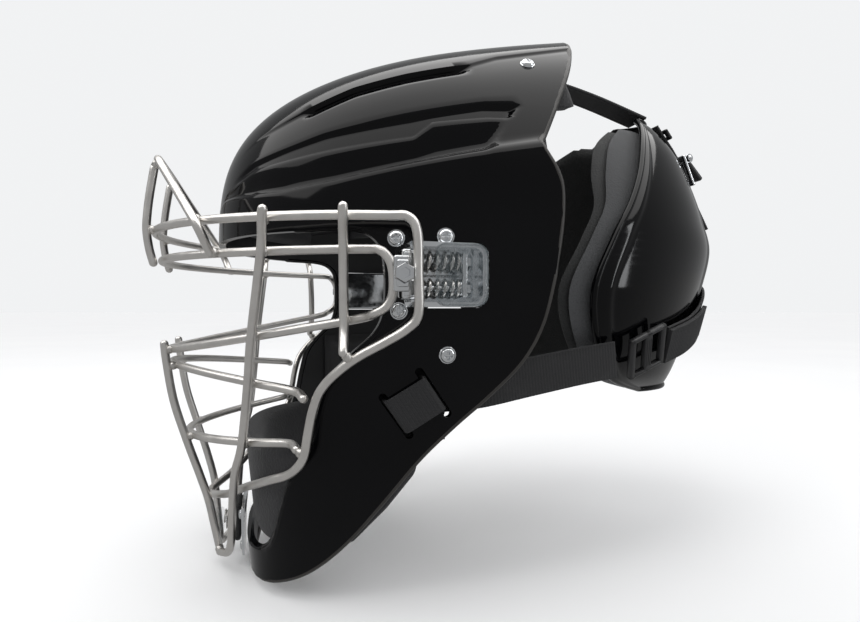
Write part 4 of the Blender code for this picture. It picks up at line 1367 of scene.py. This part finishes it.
def back_plate():
    turns, shares = plate_turns(), spread(0.0, 1.0, 78)
    outer, inner = [], []
    for share in shares:
        for turn in turns:
            here, normal = plate_point(share, turn), plate_normal(share, turn)
            if turn == 0.0:
                normal.x = 0.0
                normal.normalize()
            outer.append(here + normal * plate_relief(share, turn))
            inner.append(here - normal * PLATE_T)
    for p in outer + inner:
        p.x = max(p.x, 0.0)
    rows, columns = len(shares), len(turns)
    count = rows * columns
    faces = grid_faces(rows, columns)
    faces += [tuple(i + count for i in reversed(f)) for f in faces]
    edge = [r * columns + columns - 1 for r in range(rows)]
    low, high = list(range(columns)), list(range(count - columns, count))
    for line in (edge, low, high):
        faces += [(a, b, b + count, a + count) for a, b in zip(line, line[1:])]
    half = part(outer + inner, faces)
    piece("back_plate_shell", join(half, flipped(half)), GLOSS, "back_plate", "back_plate", 50)
    route = [(0.0, turn, turn) for turn in spread(0, 1, 16)][:-1]
    route += [(share, 1.0, 0.99) for share in spread(0, 1, 60)]
    route += [(1.0, turn, turn) for turn in spread(1, 0, 12)][1:]
    left = [plate_point(share, turn) - plate_normal(share, facing) * 1.2
            for share, turn, facing in route]
    loop = left + [mirrored(p) for p in reversed(left[1:-1])]
    rim = tube(resampled(ring(loop, True), RIM_STEP)[:-1], 1.9, RIM_SIDES, closed=True)
    piece("back_plate_rim", rim, GLOSS, "back_plate")


def liner(name, look, start, depth, foam, top, node=None):
    """One layer of the plate's foam, crowned towards the head."""
    outer, inward = [], []
    for share in spread(0.01, top, 46):
        points, normals = [], []
        for turn in spread(-1.0, 1.0, 61):
            here, normal = plate_point(share, abs(turn), foam), plate_normal(share, abs(turn), foam)
            if turn < 0:
                here, normal = mirrored(here), mirrored(normal)
            if abs(turn) < 0.02:
                normal = Y
            points.append(here)
            normals.append(-normal)
        outer.append(points)
        inward.append(normals)
    obj = piece(name, pillow(outer, inward, depth, 0.07, start), look, "back_plate", node, 60)


def back_pad():
    liner("back_pad_grey_layer", LINER_LIGHT, 0.0, 6.5, 0.72, 0.88)
    liner("back_pad_dark_layer", LINER_DARK, 0.5, 10.5, 1.0, 0.87, "back_pad")


# ------------------------------------------------------------------ straps


WEBBING_STEP = 0.42


def strap_section(width, thickness):
    half, up = width / 2, thickness / 2
    across = [-1, -0.985, -0.93, -0.9, -0.6, -0.3, 0, 0.3, 0.6, 0.9, 0.93, 0.985, 1]
    height = [0.45, 0.85, 1.0, 0.86, 0.92, 0.92, 0.92, 0.92, 0.92, 0.86, 1.0, 0.85, 0.45]
    top = [(a * half, h * up) for a, h in zip(across, height)]
    return [(a, -h) for a, h in top] + top[::-1]


def strap(path, across, width=WEB_W, thickness=WEB_T, rib=1.7, swell=0.13):
    """Ribbed webbing along a path, `across` giving its width direction at each point."""
    pts = np.array([tuple(p) for p in path])
    sides = np.array([tuple(Vector(a).normalized()) for a in across])
    reach = reach_along(pts)
    at = np.linspace(0, reach[-1], int(reach[-1] / WEBBING_STEP) + 2)
    scale = [(1.0, 1.0 + swell * math.sin(2 * math.pi * s / rib)) for s in at]
    return sweep(places_at(at, reach, pts), strap_section(width, thickness),
                 places_at(at, reach, sides), scale=scale)


def shifted(path, across, sideways, out):
    """A route moved across its strap and off its face."""
    return [here + side * sideways + up * out
            for (_, side, up), here in zip(frames(path, across), path)]


def stitch_box(path, across, start, stop, half, out):
    """Box stitching on a strap between two shares of its route."""
    pts = resampled(path, 0.5)
    acr = [across[min(int(i * len(across) / len(pts)), len(across) - 1)] for i in range(len(pts))]
    a, b = int(start * (len(pts) - 1)), int(stop * (len(pts) - 1))
    made = [stitches(shifted(pts[a:b], acr[a:b], sideways, out)) for sideways in (-half, half)]
    for end in (a, b - 1):
        lift = frames(pts, acr)[end][2] * out
        made.append(stitches([pts[end] + Vector(acr[end]).normalized() * s + lift
                              for s in spread(-half, half, 24)]))
    return join(*made)


def on_plate(z, step):
    """A place `step` off the middle of the plate's back at height z, and the way out of it."""
    share = plate_share(z)
    run = plate_point(share + 0.01, 0.0) - plate_point(share - 0.01, 0.0)
    out = Vector((0.0, run.z, -run.y)).normalized()
    return plate_point(share, 0.0) + out * step, out


def plate_seat(z):
    """A place on the top strap's tail, and the axes of hardware that stands on it."""
    place, out = on_plate(z, PLATE_STEP + WEB_T / 2 + 0.3)
    return place, (X, out.cross(X), out)


def plate_side(turn, z, step):
    share = plate_share(z)
    here = plate_point(share, turn)
    up = plate_point(share + 0.02, turn) - here
    round_ = plate_point(share, turn - 0.02) - here
    out = round_.cross(up).normalized()
    if out.x < 0:
        out = -out
    return here + out * step, up.normalized()


def top_strap():
    route = smooth_path([(0, 84, 143), (0, 100, 147), (0, 112, 146), (0, 140, 140),
                         (0, 174, 130.6)], 8)
    obj = piece("top_strap_webbing", strap(route, [X] * len(route)), WEBBING, None, "top_strap", 60)
    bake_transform(obj)
    lifts = [(z, 0.2) for z in (124, 116, 108, 99, 91, 84)] + [(75, 2.0), (65, 4.2), (54.5, 6.5)]
    tail = smooth_path([on_plate(z, PLATE_STEP + lift)[0] for z, lift in lifts], 6)
    across = [X] * len(tail)
    piece("top_strap_tail_webbing", strap(tail, across), WEBBING, "back_plate",
          "top_strap_tail", 60)
    sewn = stitch_box(tail, across, 0.93, 0.985, 7.5, 1.0)
    piece("top_strap_tail_stitches", sewn, THREAD, "back_plate")


BUCKLE_Z, LEVER_REST, PIN_Y, PIN_LIFT = 95.0, math.radians(20), -7.5, 5.4


def barrel(half, outer_r, inner_r, sides):
    """A tube wall along X from -half to half."""
    points = [(x, radius * math.cos(turn), radius * math.sin(turn)) for radius in (outer_r, inner_r)
              for x in (-half, half) for turn in ring_angles(sides)]
    faces, n = [], sides
    for k in range(n):
        d = (k + 1) % n
        faces += [(k, d, n + d, n + k), (2 * n + d, 2 * n + k, 3 * n + k, 3 * n + d),
                  (d, k, 2 * n + k, 2 * n + d), (n + k, n + d, 3 * n + d, 3 * n + k)]
    return part(points, faces)


def buckle():
    place, axes = plate_seat(BUCKLE_Z)

    def put(name, parts, look, body, node):
        piece(name, moved(join(*parts), place, axes), look, body, node)

    frame_bars = [rounded_box((-13, y0, 0.1), (13, y1, 2.2), 0.8)
                  for y0, y1 in ((-11, -6.2), (6.2, 11))]
    for x in (-11.3, 11.3):
        ear = lathe([(0, -0.8), (2.9, -0.8), (3.1, -0.5), (3.1, 0.5), (2.9, 0.8), (0, 0.8)], 28)
        frame_bars += [rounded_box((x - 1.6, -11, 0.1), (x + 1.6, 11, 2.2), 0.8),
                       moved(ear, (x, PIN_Y, PIN_LIFT - 0.2), OUT_X),
                       rounded_box((x - 0.8, -10.2, 1.2), (x + 0.8, -4.8, PIN_LIFT), 0.4)]
    ridges = [rounded_box((-8.5, y - 0.35, 2.0), (8.5, y + 0.35, 2.7), 0.3)
              for y in (7.4, 8.6, 9.8)]
    put("buckle_frame_plate", frame_bars + ridges, CHROME, "back_plate", "buckle_frame")
    rod = tube([(x, PIN_Y, PIN_LIFT) for x in spread(-12.3, 12.3, 9)], 1.3, 16)
    head = lathe([(0, 0), (1.9, 0), (1.9, 0.4), (1.4, 0.8), (0, 0.8)], 20)
    caps = [moved(head, (end * 12.1, PIN_Y, PIN_LIFT), (Y * end, Z, X * end)) for end in (-1, 1)]
    put("buckle_pin_rod", [rod] + caps, CHROME, "back_plate", "buckle_pin")
    grip = [rounded_box((-9.3, 1.9, -1.4), (9.3, 18.8, 1.9), 1.3, 4), barrel(9.3, 2.45, 1.55, 24)]
    grip += [rounded_box((-7.2, y - 0.45, 1.6), (7.2, y + 0.45, 2.3), 0.4)
             for y in (9, 11.2, 13.4, 15.6)]
    turned = Matrix.Rotation(LEVER_REST, 3, "X")
    lever = moved(join(*grip), (0, PIN_Y, PIN_LIFT), [turned.col[k] for k in range(3)])
    put("buckle_lever_grip", [lever], PLASTIC, "buckle_lever", "buckle_lever")


def keeper():
    bars = [rounded_box((-12.4, y0, 0.15), (12.4, y1, 2.3), 0.9, 4)
            for y0, y1 in ((-3.9, -1.2), (1.2, 3.9))]
    bars += [rounded_box((x - 1.7, -3.9, 0.15), (x + 1.7, 3.9, 2.3), 0.9, 4)
             for x in (-10.7, 10.7)]
    piece("strap_keeper_loop", moved(join(*bars), *plate_seat(118)), PLASTIC, "back_plate",
          "strap_keeper")


SLOT_CENTRES = ((-18.0, -45.5), (-2.3, -35.5))
BAND_HEIGHTS = ((0.67, -17.0), (0.5, -11.0), (0.35, -3.5), (0.22, 5.0), (0.1, 10.5), (0.0, 12.0))


def side_straps(name, side):
    (first_y, first_z), (last_y, last_z) = SLOT_CENTRES
    run = Vector((last_y - first_y, last_z - first_z)).normalized()
    loop = [skin_place(first_y + run.x * step, first_z + run.y * step, depth)
            for step, depth in ((-0.2, -5.2), (-0.1, -0.4), (0.9, 1.5), (4.0, 1.7))]
    loop += [skin_place(last_y + run.x * step, last_z + run.y * step, depth)
             for step, depth in ((-4.0, 1.7), (-0.9, 1.5), (0.1, -0.4), (0.2, -5.2))]
    across = [skin_place(p.y - 5.6, p.z + 8.0, 0.0) - skin_place(p.y + 5.6, p.z - 8.0, 0.0)
              for p in loop]
    path, wide = [smooth_path(on_side(row, side), 6) for row in (loop, across)]
    piece(name + "_strap_loop_webbing", strap(path, wide, 17.5, 1.4), WEBBING, "shell",
          name + "_strap_loop", 60)
    route = smooth_path([skin_place(3.0, -36.0, -8.0), skin_place(22.0, -35.0, -8.0),
                         (84, 50, -31.5), (81.5, 78, -27.5), (79.5, 100, -25)], 8)
    lean = [(side * 0.05, -0.12, 1)] * len(route)
    obj = piece(name + "_side_strap_webbing", strap(on_side(route, side), lean), WEBBING, None,
                name + "_side_strap", 60)
    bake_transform(obj)


def rear_band():
    left = [plate_side(turn, z, 2.4) for turn, z in BAND_HEIGHTS[:-1]]
    centre, out = on_plate(BAND_HEIGHTS[-1][1], 2.4)
    left.append((centre, Vector((0, -out.z, out.y))))
    path, ups = [list(row) + [mirrored(p) for p in reversed(row[:-1])] for row in zip(*left)]
    piece("rear_band_webbing", strap(smooth_path(path, 8), smooth_path(ups, 8)), WEBBING,
          "back_plate", "rear_band", 60)


def ladder_lock(name, side):
    (place, up), (ahead, _) = plate_side(0.782, -20.0, 3.8), plate_side(0.8, -20.4, 3.8)
    place, up, ahead = on_side((place, up, ahead), side)
    out = (place - ahead).normalized().cross(up).normalized()
    bars = [rounded_box((-1.8, y0, -12.9), (1.8, y1, 12.9), 1.2, 4)
            for y0, y1 in ((-12.9, -9.4), (-2.6, 2.6), (9.4, 12.9))]
    bars += [rounded_box((-1.8, -12.9, z0), (1.8, 12.9, z1), 1.2, 4)
             for z0, z1 in ((-12.9, -10.1), (10.1, 12.9))]
    bars += [rounded_box((1.2, y - 0.4, -9), (2.1, y + 0.4, 9), 0.35) for y in (-1.3, 0.0, 1.3)]
    piece(name + "_ladder_lock_frame", moved(join(*bars), place, (out, up.cross(out), up)), PLASTIC,
          "back_plate", name + "_ladder_lock")


def strap_tab(name, side):
    left = [plate_side(turn, z, 5.2)
            for turn, z in ((0.68, -18.0), (0.55, -13.5), (0.43, -8.5), (0.34, -4.0))]
    path, ups = [smooth_path(on_side(row, side), 8) for row in zip(*left)]
    webbed = strap(path, ups, WEB_W + 1, 2.4, rib=2.0, swell=0.16)
    piece(name + "_strap_tab_webbing", webbed, WEBBING, "back_plate", name + "_strap_tab", 60)
    sewn = [stitch_box(path, ups, start, stop, 8.0, 1.25 * side)
            for start, stop in ((0.06, 0.42), (0.55, 0.94))]
    piece(name + "_strap_tab_stitches", join(*sewn), THREAD, "back_plate")


# ------------------------------------------------------------------ stage


FLOOR_Z = CAD_BOX[0][2] - 0.0032
WORLD_STRENGTH = 1.0
WORLD_IN_VIEW = 0.9
WORLD_IN_GLOSS = 0.36
FLOOR_IN_GLOSS = 0.36
# name, place, aim, size in metres, watts, tint, seen in reflections, lights matt surfaces
LIGHTS = (
    ("overhead", (0.1, -0.35, 1.1), (0.1, -0.35, 0), (1.5, 3.4), 34.0, (1.0, 0.99, 0.98), True,
     False),
    ("key", (0.3, -0.4, 1.6), (0, 0.05, 0), (0.9, 0.9), 6.0, (1.0, 1.0, 1.0), False, True),
    ("front", (0.5, -1.3, 0.9), (0, -0.1, 0), (0.4, 0.4), 3.0, (1.0, 1.0, 1.0), False, True),
    ("rear", (0.75, 1.1, 0.35), (0, 0.15, 0.0), (0.1, 0.8), 2.2, (0.96, 0.98, 1.0), True, False),
)
CAMERA_PLACE, CAMERA_TURN = (0.320, -0.070, 0.0), math.radians(16.4)
CAMERA_LENS, CAMERA_SENSOR = 22.69, 36.0


def dim_in_gloss(look, shader, level):
    """Keeps the pale paper out of the gloss black's reflections, as a flagged studio does."""
    path = look.add("ShaderNodeLightPath")
    dark = look.add("ShaderNodeEmission")
    dark.inputs["Color"].default_value = (level, level, level, 1.0)
    mixed = look.add("ShaderNodeMixShader")
    look.link(path.outputs["Is Glossy Ray"], mixed.inputs["Fac"])
    look.link(shader.outputs[0], mixed.inputs[1])
    look.link(dark.outputs[0], mixed.inputs[2])
    look.link(mixed.outputs[0], look.tree.nodes["Material Output"].inputs["Surface"])


def camera():
    data = bpy.data.cameras.new("view")
    obj = bpy.data.objects.new("view", data)
    bpy.context.scene.collection.objects.link(obj)
    obj.location = CAMERA_PLACE
    aim = Vector((-math.cos(CAMERA_TURN), math.sin(CAMERA_TURN), 0.0))
    obj.rotation_euler = aim.to_track_quat("-Z", "Y").to_euler()
    data.sensor_width, data.lens, data.clip_start = CAMERA_SENSOR, CAMERA_LENS, 0.01
    bpy.context.scene.camera = obj


def studio_floor():
    radii, sides = [0.0, 0.3, 0.8, 2.0, 5.0, 12.0, 30.0, 80.0], 64
    points = [(radius * math.cos(turn), 0.05 + radius * math.sin(turn), FLOOR_Z)
              for radius in radii for turn in ring_angles(sides)]
    mesh = bpy.data.meshes.new("studio_floor")
    mesh.from_pydata(points, [], grid_faces(len(radii), sides, wrap=True))
    shape = bmesh.new()
    shape.from_mesh(mesh)
    bmesh.ops.remove_doubles(shape, verts=shape.verts, dist=1e-5)
    shape.to_mesh(mesh)
    shape.free()
    mesh.shade_smooth()
    floor = bpy.data.objects.new("studio_floor", mesh)
    bpy.context.scene.collection.objects.link(floor)
    paper = Look("pale_studio_paper", (0.93, 0.93, 0.93), 0.95, Specular_IOR_Level=0.05)
    paper.colour(paper.noise(3, 2), [(0.3, (0.92, 0.92, 0.922)), (0.7, (0.94, 0.94, 0.938))])
    dim_in_gloss(paper, paper.shader, FLOOR_IN_GLOSS)
    mesh.materials.append(paper.material)


def studio_world():
    """White paper all round: full strength for matt light, less for the camera and the gloss."""
    world = bpy.data.worlds.new("studio")
    world.use_nodes = True
    tree = world.node_tree
    pale = tree.nodes["Background"]
    pale.inputs["Color"].default_value = (0.985, 0.99, 1.0, 1.0)
    pale.inputs["Strength"].default_value = WORLD_STRENGTH
    path, last = tree.nodes.new("ShaderNodeLightPath"), pale
    for ray, strength in (("Is Camera Ray", WORLD_IN_VIEW), ("Is Glossy Ray", WORLD_IN_GLOSS)):
        other = tree.nodes.new("ShaderNodeBackground")
        other.inputs["Color"].default_value = (0.98, 0.99, 1.0, 1.0)
        other.inputs["Strength"].default_value = strength
        mixed = tree.nodes.new("ShaderNodeMixShader")
        tree.links.new(path.outputs[ray], mixed.inputs["Fac"])
        tree.links.new(last.outputs[0], mixed.inputs[1])
        tree.links.new(other.outputs[0], mixed.inputs[2])
        last = mixed
    tree.links.new(last.outputs[0], tree.nodes["World Output"].inputs["Surface"])
    bpy.context.scene.world = world


def studio_lights():
    for name, place, aim, size, power, tint, in_gloss, on_matt in LIGHTS:
        lamp = bpy.data.lights.new(name, "AREA")
        lamp.shape = "RECTANGLE"
        lamp.size, lamp.size_y = size
        lamp.energy = power
        lamp.color = tint
        holder = bpy.data.objects.new(name, lamp)
        bpy.context.scene.collection.objects.link(holder)
        holder.location = place
        holder.visible_glossy, holder.visible_diffuse = in_gloss, on_matt
        holder.rotation_euler = (Vector(aim) - Vector(place)).to_track_quat("-Z", "Y").to_euler()


bpy.context.scene.view_settings.view_transform = "Standard"
camera()
studio_floor()
studio_world()
studio_lights()
shell()
shell_details()
pads()
cage()
chin_unit()
back_plate()
back_pad()
top_strap()
buckle()
keeper()
rear_band()
for each_side in SIDES:
    for build in (module, side_straps, ladder_lock, strap_tab):
        build(*each_side)
